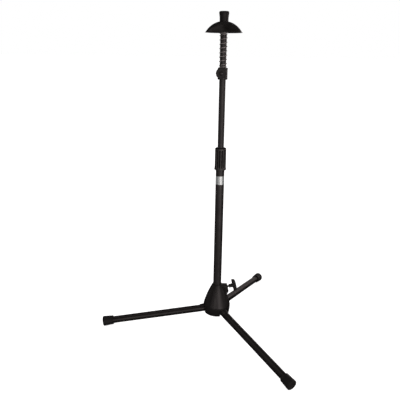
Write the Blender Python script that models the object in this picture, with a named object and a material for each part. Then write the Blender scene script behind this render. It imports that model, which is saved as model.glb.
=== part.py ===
# Trombone stand: a folding tripod hub, a two-tube mast with a twist clutch and a sprung bell rest.
# Metres, +Z up. The origin is on the floor, in the middle of the stand's footprint.

import math

import bmesh
import bpy
from mathutils import Vector

MM = 0.001

# Clearances
SEAT_GAP = 0.3 * MM              # between pieces that touch or slide on each other
FOLD_GAP = 0.4 * MM              # between a folded leg and what it folds against

# Legs: each leg points along its own heading and turns down about its pin
LEG_HEADINGS = (180, 300, 60)    # degrees round the mast
LEG_LENGTH = 296.9 * MM          # from the pin to the end of the foot cap
LEG_RADIUS = 9.5 * MM
LEG_WALL = 1.2 * MM
LEG_TUBE_START = 11.0 * MM       # from the pin
PIN_HEIGHT = 56.8 * MM           # of the leg pins above the floor
PIN_RADIUS = 2.3 * MM
PIN_OVERHANG = 2.6 * MM          # what the pin reaches into each cheek of the fork
SPIGOT_LENGTH = 22.0 * MM        # of the knuckle inside the leg tube

# Foot caps
CAP_RADIUS = 13.5 * MM
CAP_NECK_RADIUS = 12.2 * MM
CAP_LENGTH = 28.0 * MM
CAP_END = 4.0 * MM               # thickness of the closed end
CAP_EDGE = 1.2 * MM              # rounding of the end's rim
CAP_FLAT_DEPTH = 0.5 * MM        # of the flat that stands on the floor

# Mast (lower tube) and its end stop
MAST_RADIUS = 11.1 * MM
MAST_WALL = 1.2 * MM
STOP_FLANGE_RADIUS = 14.2 * MM
STOP_FLANGE = 2.5 * MM
STOP_PLUG = 12.0 * MM

# Hub
HUB_FOOT_RADIUS = 34.8 * MM      # at the base's lower edge
HUB_RADIUS = 36.9 * MM           # at the parting line
HUB_NECK_RADIUS = 12.9 * MM      # at the very top
HUB_UNDERSIDE = 10.3 * MM        # from the leg pins down to the base's lower edge
HUB_BELL_HEIGHT = 60.8 * MM      # of the cover, above the parting line
HUB_BELL_BULGE = 1.9 * MM        # of the cover's outline, off a straight cone
HUB_SKIRT_BULGE = 0.7 * MM
HUB_FOOT_EDGE = 3.2 * MM         # rounding of the base's lower edge
HUB_WALL = 3.0 * MM
HUB_SLEEVE_WALL = 2.8 * MM       # round the mast, inside the cover
HUB_ROOF = 3.0 * MM              # over the slots for the legs
SLOT_HALF_WIDTH = 10.5 * MM
HOOD_REACH = 21.0 * MM           # of each hood, out from the leg pin
HOOD_THICKNESS = 2.2 * MM
HOOD_CHEEK = 1.4 * MM            # side lips that hug the leg
HOOD_LIP = 4.0 * MM              # how far the lips hang beside the leg

# Screws that hold the cover on the base, one between each pair of legs
SCREW_HEADINGS = (0, 120, 240)
SCREW_RADIUS = 1.9 * MM
SCREW_HEAD_RADIUS = 3.6 * MM
SCREW_HEAD = 2.4 * MM
SCREW_LENGTH = 38.0 * MM         # under the head
PILLAR_RADIUS = 4.6 * MM
PILLAR_HEIGHT = 21.0 * MM        # above the parting line
PILLAR_COVER = 0.3 * MM          # left of the cover's wall outside a pillar's top

# Clamp screw of the hub: its axis leaves the mast's axis and rises outwards
CLAMP_HEIGHT = 44.3 * MM         # of the axis at the middle of the mast, above the parting line
CLAMP_TILT = math.radians(14.5)
CLAMP_FACE = 29.9 * MM           # from the mast's axis to the boss's face, along the screw
CLAMP_FACE_DROP = 11.2 * MM      # of the face's lower edge under the screw's axis
BOSS_HALF_WIDTH = 9.5 * MM
BOSS_DROP = 3.6 * MM             # of the boss's top below the bell's
BOSS_TAIL = 22.0 * MM            # how far the boss runs down the bell
STUD_RADIUS = 3.0 * MM
CLAMP_SHOE_RADIUS = 4.3 * MM
CLAMP_SHOE_END = 15.4 * MM       # outer face of the shoe, from the mast's axis
NUT_START = 20.0 * MM
NUT_THICKNESS = 5.0 * MM
NUT_ACROSS_FLATS = 10.0 * MM
WING_START = 33.6 * MM           # inner face of the wing's hub, from the mast's axis
WING_HUB_RADIUS = 5.2 * MM
WING_ROOT = 43.6 * MM            # inner edge of the wings
WING_CROWN = 54.4 * MM           # outer edge of the wings at the middle
WING_SPAN = 18.4 * MM            # from the screw's axis to a wing's tip
WING_TIP = 8.2 * MM              # depth of a wing's tip
WING_TIP_SLANT = 2.2 * MM        # how much shorter the wing is at its outer edge
WING_THICKNESS = 6.0 * MM
WING_EDGE = 1.4 * MM

# Clutch
GRIP_BOTTOM = 455.0 * MM
GRIP_LENGTH = 56.2 * MM
GRIP_RADIUS = 14.25 * MM         # at the top
GRIP_FOOT_RADIUS = 15.35 * MM
GRIP_SHOULDER = 4.8 * MM
GRIP_ROOF = 6.7 * MM
GRIP_WALL = 2.2 * MM
FLUTES = 14
FLUTE_TURN = math.radians(2.6)   # of the first flute, from +X
FLUTE_RADIUS = 2.3 * MM
FLUTE_DEPTH = 1.25 * MM
FLUTE_MARGIN = 5.0 * MM          # left plain at each end of the grip
GRIP_SKIRT = 14.0 * MM           # part of the grip that fits the mast closely
FERRULE_SPIGOT = 20.0 * MM
FERRULE_HEAD = 20.0 * MM
COLLET_WALL = 1.2 * MM
COLLET_CONE = 1.2 * MM           # how much the collet's head flares
COLLET_CONE_LENGTH = 7.0 * MM
COLLET_RISE = 4.7 * MM           # of the collet above the ferrule
COLLET_SEAT = 2.0 * MM           # step in the ferrule that the collet stands on
COLLET_SLITS = 4
SLIT_WIDTH = 1.4 * MM
SLIT_LENGTH = 17.0 * MM
RING_THICKNESS = 4.2 * MM

# Extension (upper tube)
EXT_RADIUS = 7.95 * MM
EXT_WALL = 1.0 * MM
EXT_TRAVEL_UP = 160.0 * MM
GLIDE_FLANGE = 8.0 * MM
GLIDE_PLUG = 12.0 * MM

# Collar under the spring, with its thumb screw
COLLAR_ABOVE_GRIP = 167.8 * MM
COLLAR_HEIGHT = 28.0 * MM
COLLAR_RADIUS = 11.5 * MM
COLLAR_RIM = 0.6 * MM            # how far the rims stand proud
COLLAR_RIM_HEIGHT = 4.0 * MM
COLLAR_BOSS_RADIUS = 7.5 * MM
COLLAR_BOSS_REACH = 15.0 * MM    # from the mast's axis
KNOB_HEADING = math.radians(258.2)
KNOB_RISE = 1.4 * MM             # of the thumb screw above the collar's middle
PAD_LENGTH = 2.8 * MM
KNOB_RADIUS = 12.95 * MM
KNOB_NECK_RADIUS = 6.5 * MM
KNOB_NECK = 2.6 * MM
KNOB_THICKNESS = 9.0 * MM
KNOB_RIM_SHARE = 0.84            # of the knob's radius, inside its rounded rim
KNOB_DISH = 0.7 * MM             # how far the face lies under the rim
KNOB_BUTTON_RADIUS = 4.6 * MM    # of the domed middle
KNOB_DOME = 1.4 * MM             # of the middle above the rim
KNOB_LOBES = 10
KNOB_SCALLOP = 0.4 * MM

# Spring
SPRING_ROOM = 79.0 * MM          # between the collar and the washer
SPRING_WIRE_RADIUS = 0.6 * MM
SPRING_PITCH = 9.75 * MM
SPRING_END_PITCH = 2.2 * MM      # of the closed turn at each end
SPRING_START = math.radians(130)
SPRING_POINTS_PER_TURN = 10

# Bell rest
WASHER_THICKNESS = 2.0 * MM
WASHER_RADIUS = 10.6 * MM
REST_TRAVEL = 20.0 * MM
SPACER_RADIUS = 10.4 * MM
DOME_SPHERE = 50.0 * MM
DOME_RIM_RADIUS = 43.3 * MM
DOME_RIM_DROP = 0.8 * MM         # of the rim below the top of the washer
DOME_WALL = 2.2 * MM
DOME_LIP = 1.1 * MM              # how far the rim's lip stands out
DOME_LIP_DROP = 0.6 * MM         # and down
DOME_LIP_WIDTH = 3.6 * MM
DOME_FLAT_RADIUS = 12.5 * MM
PLUG_HEIGHT = 23.0 * MM
PLUG_RADIUS = 10.45 * MM
PLUG_LIP_RADIUS = 11.9 * MM
PLUG_LIP = 4.2 * MM
PLUG_LIP_EDGE = 3.0 * MM         # rounding of the plug's top
PLUG_STRAIGHT = 9.0 * MM
ROD_RADIUS = 4.0 * MM
ROD_FLANGE_RADIUS = 7.4 * MM
ROD_FLANGE = 3.0 * MM
ROD_TANG = 16.0 * MM             # of the rod inside the plug
BUSH_FLANGE = 2.0 * MM
BUSH_SPIGOT = 14.0 * MM
CLIP_RADIUS = 6.3 * MM
CLIP_THICKNESS = 2.0 * MM
ROD_END = 2.5 * MM               # below the clip

# Facets
DOME_ROUND = 40
ROUND = 28
HIDDEN_ROUND = ROUND - 10
HUB_AND_BOSS_ROUND = ROUND + 4   # of the wing's hub and the collar's boss
SMALL_ROUND = 12
FILLET_STEPS = 2

# Places that follow from the sizes
HUB_BOTTOM = PIN_HEIGHT - HUB_UNDERSIDE
SLOT_RADIUS = LEG_RADIUS + FOLD_GAP
BASE_TOP = PIN_HEIGHT + SLOT_RADIUS + HUB_ROOF
PARTING = BASE_TOP + SEAT_GAP
HUB_TOP = PARTING + HUB_BELL_HEIGHT
PILLAR_SHARE = PILLAR_HEIGHT / HUB_BELL_HEIGHT
PILLAR_BULGE = 3.7 * HUB_BELL_BULGE * PILLAR_SHARE * (1 - PILLAR_SHARE)
BELL_AT_PILLAR = HUB_RADIUS - (HUB_RADIUS - HUB_NECK_RADIUS) * PILLAR_SHARE + PILLAR_BULGE
SCREW_CIRCLE = BELL_AT_PILLAR - PILLAR_COVER - PILLAR_RADIUS
PIN_CIRCLE = MAST_RADIUS + FOLD_GAP + CAP_RADIUS
MAST_BORE = MAST_RADIUS + SEAT_GAP
MAST_INSIDE = MAST_RADIUS - MAST_WALL
EXT_BORE = EXT_RADIUS + SEAT_GAP
EXT_INSIDE = EXT_RADIUS - EXT_WALL
MAST_BOTTOM = HUB_BOTTOM + STOP_FLANGE + 4 * SEAT_GAP
CLAMP_ORIGIN = PARTING + CLAMP_HEIGHT
GRIP_TOP = GRIP_BOTTOM + GRIP_LENGTH
CEILING = GRIP_TOP - GRIP_ROOF
RING_TOP = CEILING - SEAT_GAP
RING_BOTTOM = RING_TOP - RING_THICKNESS
COLLET_TOP = RING_BOTTOM - SEAT_GAP
FERRULE_TOP = COLLET_TOP - COLLET_RISE
FERRULE_SHOULDER = FERRULE_TOP - FERRULE_HEAD
FERRULE_BOTTOM = FERRULE_SHOULDER - FERRULE_SPIGOT
COLLET_BOTTOM = FERRULE_SHOULDER + COLLET_SEAT + SEAT_GAP
MAST_TOP = FERRULE_SHOULDER - SEAT_GAP
GLIDE_TOP = FERRULE_BOTTOM - EXT_TRAVEL_UP - SEAT_GAP
COLLAR_BOTTOM = GRIP_TOP + COLLAR_ABOVE_GRIP
COLLAR_TOP = COLLAR_BOTTOM + COLLAR_HEIGHT
KNOB_HEIGHT = COLLAR_BOTTOM + COLLAR_HEIGHT / 2 + KNOB_RISE
WASHER_BOTTOM = COLLAR_TOP + SPRING_ROOM
WASHER_TOP = WASHER_BOTTOM + WASHER_THICKNESS
DOME_RIM = WASHER_TOP - DOME_RIM_DROP
DOME_CENTRE = DOME_RIM - math.sqrt(DOME_SPHERE ** 2 - DOME_RIM_RADIUS ** 2)
DOME_SEAT = DOME_CENTRE + math.sqrt(DOME_SPHERE ** 2 - DOME_FLAT_RADIUS ** 2)
DOME_UNDER = DOME_SEAT - DOME_WALL
PLUG_BOTTOM = DOME_SEAT + SEAT_GAP
PLUG_TOP = PLUG_BOTTOM + PLUG_HEIGHT
ROD_FLANGE_TOP = DOME_UNDER - SEAT_GAP
ROD_FLANGE_BOTTOM = ROD_FLANGE_TOP - ROD_FLANGE
BUSH_TOP = ROD_FLANGE_BOTTOM - REST_TRAVEL - FOLD_GAP
EXT_TOP = BUSH_TOP - BUSH_FLANGE - SEAT_GAP
CLIP_TOP = EXT_TOP - BUSH_SPIGOT - SEAT_GAP
CLIP_BOTTOM = CLIP_TOP - CLIP_THICKNESS

# The leg's slope puts the flat of its cap on the floor
CAP_RIM_RADIUS = CAP_RADIUS - CAP_EDGE
RIM_DISTANCE = math.hypot(LEG_LENGTH - CAP_EDGE, CAP_RIM_RADIUS)
RIM_ANGLE = math.atan2(CAP_RIM_RADIUS, LEG_LENGTH - CAP_EDGE)
LEG_SLOPE = math.asin((PIN_HEIGHT + CAP_FLAT_DEPTH - CAP_EDGE) / RIM_DISTANCE) - RIM_ANGLE


def foot_reach(turn):
    """How far a foot cap reaches from the mast's axis, along a line turned from its leg."""
    along = math.cos(LEG_SLOPE) * math.cos(turn)
    to_rim = PIN_CIRCLE + (LEG_LENGTH - CAP_EDGE) * math.cos(LEG_SLOPE)
    return to_rim * math.cos(turn) + CAP_RIM_RADIUS * math.sqrt(1 - along ** 2) + CAP_EDGE


# The footprint is centred on the origin, so the mast stands off centre
MAST_X = (foot_reach(0) - foot_reach(math.radians(60))) / 2


def rounded(outline):
    """Turn each corner given with a third value, its radius, into an arc."""
    points = []
    for index, corner in enumerate(outline):
        here = Vector(corner[:2])
        if len(corner) == 2 or corner[2] == 0:
            points.append(here)
            continue
        back = Vector(outline[index - 1][:2]) - here
        ahead = Vector(outline[(index + 1) % len(outline)][:2]) - here
        half = back.angle(ahead) / 2
        setback = min(corner[2] / math.tan(half), 0.45 * back.length, 0.45 * ahead.length)
        radius = setback * math.tan(half)
        middle = here + (back.normalized() + ahead.normalized()).normalized() * radius / math.sin(half)
        start = here + back.normalized() * setback - middle
        end = here + ahead.normalized() * setback - middle
        first = math.atan2(start.y, start.x)
        sweep = (math.atan2(end.y, end.x) - first + math.pi) % math.tau - math.pi
        for step in range(FILLET_STEPS + 1):
            angle = first + sweep * step / FILLET_STEPS
            points.append(middle + Vector((math.cos(angle), math.sin(angle))) * radius)
    return points


def bowed(start, end, bulge, steps):
    """Points of a shallow arc from start to end, bulging to its right; the ends are left out."""
    start, end = Vector(start), Vector(end)
    chord = end - start
    side = Vector((chord.y, -chord.x)).normalized()
    points = []
    for step in range(1, steps):
        share = step / steps
        points.append(tuple(start + chord * share + side * bulge * 4 * share * (1 - share)))
    return points


def finish(name, colour, roughness, metallic=0.0):
    """A material with the piece's colour, roughness and metallic value."""
    material = bpy.data.materials.new(name)
    material.use_nodes = True
    shader = material.node_tree.nodes["Principled BSDF"]
    shader.inputs["Base Color"].default_value = (*colour, 1.0)
    shader.inputs["Roughness"].default_value = roughness
    shader.inputs["Metallic"].default_value = metallic
    return material


def frame(name, location, rotation=(0, 0, 0), parent=None):
    """An empty that stands for an axis or a pivot."""
    empty = bpy.data.objects.new(name, None)
    bpy.context.collection.objects.link(empty)
    empty.location = location
    empty.rotation_euler = rotation
    empty.parent = parent
    return empty


def place(name, work, material, parent, location=(0, 0, 0), rotation=(0, 0, 0)):
    """Make an object from a bmesh, shade it and put it on its parent."""
    mesh = bpy.data.meshes.new(name)
    work.to_mesh(mesh)
    work.free()
    mesh.materials.append(material)
    mesh.shade_smooth()
    mesh.set_sharp_from_angle(angle=math.radians(35))
    piece = bpy.data.objects.new(name, mesh)
    bpy.context.collection.objects.link(piece)
    piece.location = location
    piece.rotation_euler = rotation
    piece.parent = parent
    return piece


def turned(outline, steps=ROUND):
    """Spin an outline of radius and height round Z. An outline that meets Z starts and ends there."""
    work = bmesh.new()
    corners = rounded(outline)
    verts = [work.verts.new((corner[0], 0, corner[1])) for corner in corners]
    links = list(zip(verts, verts[1:]))
    if corners[0][0] > 0 or corners[-1][0] > 0:
        links.append((verts[-1], verts[0]))
    edges = [work.edges.new(link) for link in links]
    bmesh.ops.spin(work, geom=verts + edges, cent=(0, 0, 0), axis=(0, 0, 1), angle=math.tau,
                   steps=steps, use_merge=True)
    bmesh.ops.remove_doubles(work, verts=work.verts[:], dist=0.001 * MM)
    bmesh.ops.recalc_face_normals(work, faces=work.faces[:])
    return work


def plate(outline, half_width, edge=0.0):
    """Extrude an outline of X and Z to both sides along Y, with its long edges rounded."""
    work = bmesh.new()
    verts = [work.verts.new((point[0], -half_width, point[1])) for point in rounded(outline)]
    near = work.faces.new(verts)
    grown = bmesh.ops.extrude_face_region(work, geom=[near])
    moved = [item for item in grown["geom"] if isinstance(item, bmesh.types.BMVert)]
    bmesh.ops.translate(work, verts=moved, vec=(0, 2 * half_width, 0))
    bmesh.ops.recalc_face_normals(work, faces=work.faces[:])
    if edge > 0:
        rims = [item for item in work.edges if abs(item.verts[0].co.y - item.verts[1].co.y) < half_width]
        bmesh.ops.bevel(work, geom=rims, offset=edge, segments=2, profile=0.5, affect='EDGES')
    return work


def rod(radius, bottom, top, steps=SMALL_ROUND, edge=0.0):
    """A plain round bar on Z."""
    return turned([(0, bottom), (radius, bottom, edge), (radius, top, edge), (0, top)], steps)


def tube(inner, outer, bottom, top, steps=ROUND):
    """A plain round tube on Z."""
    return turned([(outer, bottom), (outer, top), (inner, top), (inner, bottom)], steps)


def block(low, high):
    """A box between two corners."""
    work = bmesh.new()
    bmesh.ops.create_cube(work, size=1)
    for vert in work.verts:
        share = vert.co + Vector((0.5, 0.5, 0.5))
        vert.co = [a + (b - a) * s for a, b, s in zip(low, high, share)]
    return work


def combine(piece, tools, operation):
    """Join hidden tool shapes to a piece, or cut them out of it."""
    for tool in tools:
        tool.hide_render = True
        tool.display_type = 'WIRE'
        step = piece.modifiers.new(operation.lower(), 'BOOLEAN')
        step.operation = operation
        step.object = tool


def cut(piece, *tools):
    combine(piece, tools, 'DIFFERENCE')


def add(piece, *tools):
    combine(piece, tools, 'UNION')


def weld_cuts():
    """Close the hair cracks that a chain of cuts leaves along its edges."""
    for piece in bpy.data.objects:
        if piece.modifiers and not piece.hide_render:
            weld = piece.modifiers.new("weld", 'WELD')
            weld.merge_threshold = 0.01 * MM


def tool(work, parent, location=(0, 0, 0), rotation=(0, 0, 0)):
    """A shape that only cuts or adds."""
    return place("tool", work, None, parent, location, rotation)


def around(count):
    """Even turns round an axis."""
    return [math.tau * index / count for index in range(count)]


def clamp_point(along, across):
    """Radius and height of a point given along and across the clamp screw's axis."""
    radius = along * math.cos(CLAMP_TILT) - across * math.sin(CLAMP_TILT)
    height = CLAMP_ORIGIN + along * math.sin(CLAMP_TILT) + across * math.cos(CLAMP_TILT)
    return radius, height


def make_hub_base(mast, leg_roots, black):
    """Lower moulding: a skirt with three slots for the legs, a hood over each and a bore for the mast."""
    recess = STOP_FLANGE_RADIUS + 1.4 * MM
    recess_top = MAST_BOTTOM
    skirt = bowed((HUB_FOOT_RADIUS, HUB_BOTTOM), (HUB_RADIUS, BASE_TOP), HUB_SKIRT_BULGE, 5)
    base = place("hub_base", turned([
        (recess, HUB_BOTTOM), (HUB_FOOT_RADIUS, HUB_BOTTOM, HUB_FOOT_EDGE), *skirt, (HUB_RADIUS, BASE_TOP),
        (MAST_BORE, BASE_TOP), (MAST_BORE, recess_top), (recess, recess_top)]), black, mast)
    lift = SLOT_RADIUS - HOOD_LIP
    hood_start = HUB_RADIUS - PIN_CIRCLE - 6 * MM
    below_top = (BASE_TOP - PIN_HEIGHT - SEAT_GAP + hood_start * math.sin(LEG_SLOPE)) / math.cos(LEG_SLOPE)
    hood_top = min(SLOT_RADIUS + HOOD_THICKNESS, below_top)
    for root in leg_roots:
        hood = tool(plate([
            (hood_start, lift), (hood_start, hood_top),
            (HOOD_REACH, hood_top, 2.4 * MM), (HOOD_REACH, lift, 2.4 * MM)],
            SLOT_HALF_WIDTH + HOOD_CHEEK, 1.0 * MM), root, rotation=(0, LEG_SLOPE, 0))
        add(base, hood)
    for root in leg_roots:
        roof_start = math.pi / 2 - LEG_SLOPE
        slot = []
        for step in range(9):
            angle = math.pi + (roof_start - math.pi) * step / 8
            slot.append((SLOT_RADIUS * math.cos(angle), SLOT_RADIUS * math.sin(angle)))
        out = 2 * HUB_RADIUS
        slot.append((slot[-1][0] + out * math.cos(LEG_SLOPE), slot[-1][1] - out * math.sin(LEG_SLOPE)))
        slot.append((slot[-1][0], -2 * HUB_UNDERSIDE))
        slot.append((-SLOT_RADIUS, -2 * HUB_UNDERSIDE))
        groove_end = SLOT_HALF_WIDTH + PIN_OVERHANG + SEAT_GAP
        groove_radius = PIN_RADIUS + SEAT_GAP
        groove = [(groove_radius, 2 * BASE_TOP)]
        for step in range(8):
            angle = -math.pi * step / 7
            groove.append((groove_radius * math.cos(angle), groove_radius * math.sin(angle)))
        groove.append((-groove_radius, 2 * BASE_TOP))
        cut(base, tool(plate(slot, SLOT_HALF_WIDTH), root), tool(plate(groove, groove_end), root))
    for heading in SCREW_HEADINGS:
        hole = stepped(SCREW_HEAD_RADIUS, HUB_BOTTOM + SCREW_HEAD + 2 * SEAT_GAP,
                       SCREW_RADIUS, 2 * BASE_TOP)
        cut(base, tool(hole, mast, screw_spot(heading)))
    return base


def stepped(wide, step, narrow, end):
    """A hole that starts wide and goes on narrow, with room round what sits in it."""
    return turned([(0, 0), (wide + SEAT_GAP, 0), (wide + SEAT_GAP, step), (narrow + SEAT_GAP, step),
                   (narrow + SEAT_GAP, end), (0, end)], SMALL_ROUND)


def screw_spot(heading):
    """Where a cover screw stands, from the mast's axis."""
    angle = math.radians(heading)
    return (SCREW_CIRCLE * math.cos(angle), SCREW_CIRCLE * math.sin(angle), 0)


def bell_outline(inset, steps):
    """The cover's outer arc, or its inner one when inset, from the top down."""
    top = (HUB_NECK_RADIUS - inset, HUB_TOP)
    foot = (HUB_RADIUS - inset, PARTING)
    return [(top[0], top[1])] + bowed(foot, top, HUB_BELL_BULGE, steps)[::-1] + [foot]


def make_hub_cover(mast, clamp, black):
    """Upper moulding: a hollow bell round a sleeve for the mast, with the clamp boss on one side."""
    sleeve = MAST_BORE + HUB_SLEEVE_WALL
    outside = bell_outline(0, 7)[1:]
    inside = [point for point in bell_outline(HUB_WALL, 6) if point[0] > sleeve + 1 * MM][::-1]
    meet = inside[-1][1] + 3 * MM
    cover = place("hub_cover", turned([
        (MAST_BORE, HUB_TOP), (MAST_BORE, PARTING), (sleeve, PARTING), (sleeve, meet), *inside[::-1],
        *outside[::-1], (HUB_NECK_RADIUS, HUB_TOP, 0.6 * MM)]), black, mast)
    boss_top = HUB_TOP - BOSS_DROP
    boss_reach = (CLAMP_FACE - (boss_top - CLAMP_ORIGIN) * math.sin(CLAMP_TILT)) / math.cos(CLAMP_TILT)
    boss_root = MAST_BORE + 1.5 * MM
    boss = tool(plate([
        (boss_root, boss_top), (boss_reach, boss_top, 1.6 * MM),
        (*clamp_point(CLAMP_FACE, -CLAMP_FACE_DROP), 2 * MM),
        clamp_point(CLAMP_FACE - 6 * MM, -CLAMP_FACE_DROP - BOSS_TAIL / 3),
        (boss_root, CLAMP_ORIGIN - BOSS_TAIL)], BOSS_HALF_WIDTH, 1.4 * MM), mast)
    add(cover, boss)
    for heading in SCREW_HEADINGS:
        pillar = tool(rod(PILLAR_RADIUS, PARTING, PARTING + PILLAR_HEIGHT), mast, screw_spot(heading))
        add(cover, pillar)
    screw_tip = HUB_BOTTOM + SCREW_HEAD + SCREW_LENGTH + 2 * SEAT_GAP
    for heading in SCREW_HEADINGS:
        cut(cover, tool(rod(SCREW_RADIUS + SEAT_GAP, 0, screw_tip), mast, screw_spot(heading)))
    bore = stepped(CLAMP_SHOE_RADIUS, CLAMP_SHOE_END + 3 * MM, STUD_RADIUS, 2 * CLAMP_FACE)
    cut(cover, tool(bore, clamp))
    half_flat = NUT_ACROSS_FLATS / 2 + SEAT_GAP
    half_corner = half_flat / math.cos(math.radians(30)) + SEAT_GAP
    pocket = block((-half_flat, -half_corner, NUT_START - SEAT_GAP),
                   (CLAMP_FACE_DROP + 8 * MM, half_corner, NUT_START + NUT_THICKNESS + SEAT_GAP))
    cut(cover, tool(pocket, clamp))
    return cover


def make_hub_screws(mast, steel):
    """Pan-head screws from below, which hold the cover on the base."""
    for number, heading in enumerate(SCREW_HEADINGS, 1):
        head_bottom = HUB_BOTTOM + SEAT_GAP
        head_top = head_bottom + SCREW_HEAD
        work = turned([(0, head_bottom), (SCREW_HEAD_RADIUS, head_bottom, 0.8 * MM),
                       (SCREW_HEAD_RADIUS, head_top),
                       (SCREW_RADIUS, head_top), (SCREW_RADIUS, head_top + SCREW_LENGTH, 0.6 * MM),
                       (0, head_top + SCREW_LENGTH)], SMALL_ROUND)
        place(f"hub_screw_{number}", work, steel, mast, screw_spot(heading))


def make_leg(number, root, pivot, finishes):
    """Knuckle, tube, cap and pin of one leg. Their frame's X runs down the leg."""
    lengthwise = (0, math.pi / 2, 0)
    knuckle_radius = LEG_RADIUS - 0.1 * MM
    bore = LEG_RADIUS - LEG_WALL
    neck_end = LEG_TUBE_START - SEAT_GAP
    knuckle = place(f"leg_knuckle_{number}", turned([
        (0, 0), (knuckle_radius, 0), (knuckle_radius, neck_end), (bore - SEAT_GAP, neck_end),
        (bore - SEAT_GAP, neck_end + SPIGOT_LENGTH, 1 * MM), (0, neck_end + SPIGOT_LENGTH)], HIDDEN_ROUND),
        finishes["nylon"], pivot, rotation=lengthwise)
    half_eye = SLOT_HALF_WIDTH - SEAT_GAP
    eye = tool(rod(knuckle_radius, -half_eye, half_eye, HIDDEN_ROUND), pivot, rotation=(math.pi / 2, 0, 0))
    hole = tool(rod(PIN_RADIUS + SEAT_GAP, -2 * half_eye, 2 * half_eye), pivot,
                rotation=(math.pi / 2, 0, 0))
    add(knuckle, eye)
    cut(knuckle, hole)

    tube_end = LEG_LENGTH - CAP_END - SEAT_GAP
    place(f"leg_tube_{number}", tube(bore, LEG_RADIUS, LEG_TUBE_START, tube_end, ROUND),
          finishes["paint"], pivot, rotation=lengthwise)

    socket = LEG_RADIUS + SEAT_GAP
    mouth = LEG_LENGTH - CAP_LENGTH
    cap = place(f"foot_cap_{number}", turned([
        (socket, mouth), (CAP_NECK_RADIUS, mouth, 0.6 * MM), (CAP_RADIUS, LEG_LENGTH - CAP_LENGTH / 4),
        (CAP_RADIUS, LEG_LENGTH - CAP_EDGE), *cap_rim(), (0, LEG_LENGTH),
        (0, LEG_LENGTH - CAP_END), (socket, LEG_LENGTH - CAP_END)], ROUND),
        finishes["rubber"], pivot, rotation=lengthwise)
    below = tool(block((LEG_LENGTH / 2, -CAP_LENGTH, -3 * CAP_LENGTH),
                       (2 * LEG_LENGTH, CAP_LENGTH, -PIN_HEIGHT)), root)
    cut(cap, below)

    reach = SLOT_HALF_WIDTH + PIN_OVERHANG
    place(f"leg_pin_{number}", rod(PIN_RADIUS, -reach, reach, edge=0.4 * MM), finishes["steel"], root,
          rotation=(math.pi / 2, 0, 0))


def cap_rim():
    """The rounded rim of a foot cap's end, after its first point."""
    points = []
    for step in range(1, 4):
        angle = math.pi / 2 * step / 3
        points.append((CAP_RIM_RADIUS + CAP_EDGE * math.cos(angle),
                       LEG_LENGTH - CAP_EDGE + CAP_EDGE * math.sin(angle)))
    return points


def make_clamp(mast, clamp, finishes):
    """Shoe, nut, stud and wing handle of the hub's clamp. Their frame's Z runs out along the screw."""
    shoe = place("clamp_shoe", rod(CLAMP_SHOE_RADIUS, MAST_RADIUS / 2, CLAMP_SHOE_END),
                 finishes["nylon"], clamp)
    cut(shoe, tool(rod(MAST_BORE, 0, HUB_TOP + BOSS_TAIL, ROUND), mast))
    nut = place("clamp_nut", rod(NUT_ACROSS_FLATS / 2 / math.cos(math.radians(30)), NUT_START,
                                 NUT_START + NUT_THICKNESS, 6), finishes["steel"], clamp,
                rotation=(0, 0, math.radians(30)))
    cut(nut, tool(rod(STUD_RADIUS + SEAT_GAP, 0, CLAMP_FACE), clamp))
    stud_end = WING_CROWN - 6 * MM
    place("wing_stud", rod(STUD_RADIUS, CLAMP_SHOE_END + SEAT_GAP, stud_end, edge=0.5 * MM),
          finishes["steel"], clamp)
    tip_mid = (WING_ROOT + WING_CROWN) / 2 - 0.7 * MM
    outline = [
        (0, WING_CROWN, 12 * MM), (WING_SPAN * 0.62, WING_CROWN - 1.2 * MM, 6 * MM),
        (WING_SPAN - WING_TIP_SLANT, tip_mid + WING_TIP / 2, 3 * MM),
        (WING_SPAN, tip_mid - WING_TIP / 2, 1.6 * MM),
        (WING_HUB_RADIUS + 1.5 * MM, WING_ROOT, 2 * MM), (WING_HUB_RADIUS - 1 * MM, WING_ROOT - 2 * MM)]
    mirrored = [(-corner[0], *corner[1:]) for corner in outline[:0:-1]]
    handle = place("wing_handle", plate(outline + mirrored, WING_THICKNESS / 2, WING_EDGE),
                   finishes["plastic"], clamp)
    hub = tool(turned([(0, WING_START), (WING_HUB_RADIUS, WING_START, 0.8 * MM),
                       (WING_HUB_RADIUS, WING_CROWN - 4 * MM, 2 * MM), (0, WING_CROWN - 2 * MM)],
                      HUB_AND_BOSS_ROUND), clamp)
    add(handle, hub)
    cut(handle, tool(rod(STUD_RADIUS + SEAT_GAP, 0, stud_end + SEAT_GAP), clamp))


def make_mast(mast, finishes):
    """Lower tube with the flanged plug that stops it in the hub."""
    place("mast_tube", tube(MAST_INSIDE, MAST_RADIUS, MAST_BOTTOM, MAST_TOP), finishes["paint"], mast)
    flange_top = MAST_BOTTOM - SEAT_GAP
    plug_radius = MAST_INSIDE - SEAT_GAP
    hollow = plug_radius - 2 * MM
    place("mast_end_stop", turned([
        (0, flange_top - STOP_FLANGE), (STOP_FLANGE_RADIUS, flange_top - STOP_FLANGE, 0.8 * MM),
        (STOP_FLANGE_RADIUS, flange_top), (plug_radius, flange_top),
        (plug_radius, flange_top + STOP_PLUG, 0.8 * MM), (hollow, flange_top + STOP_PLUG),
        (hollow, flange_top), (0, flange_top)], HIDDEN_ROUND), finishes["nylon"], mast)


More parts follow.
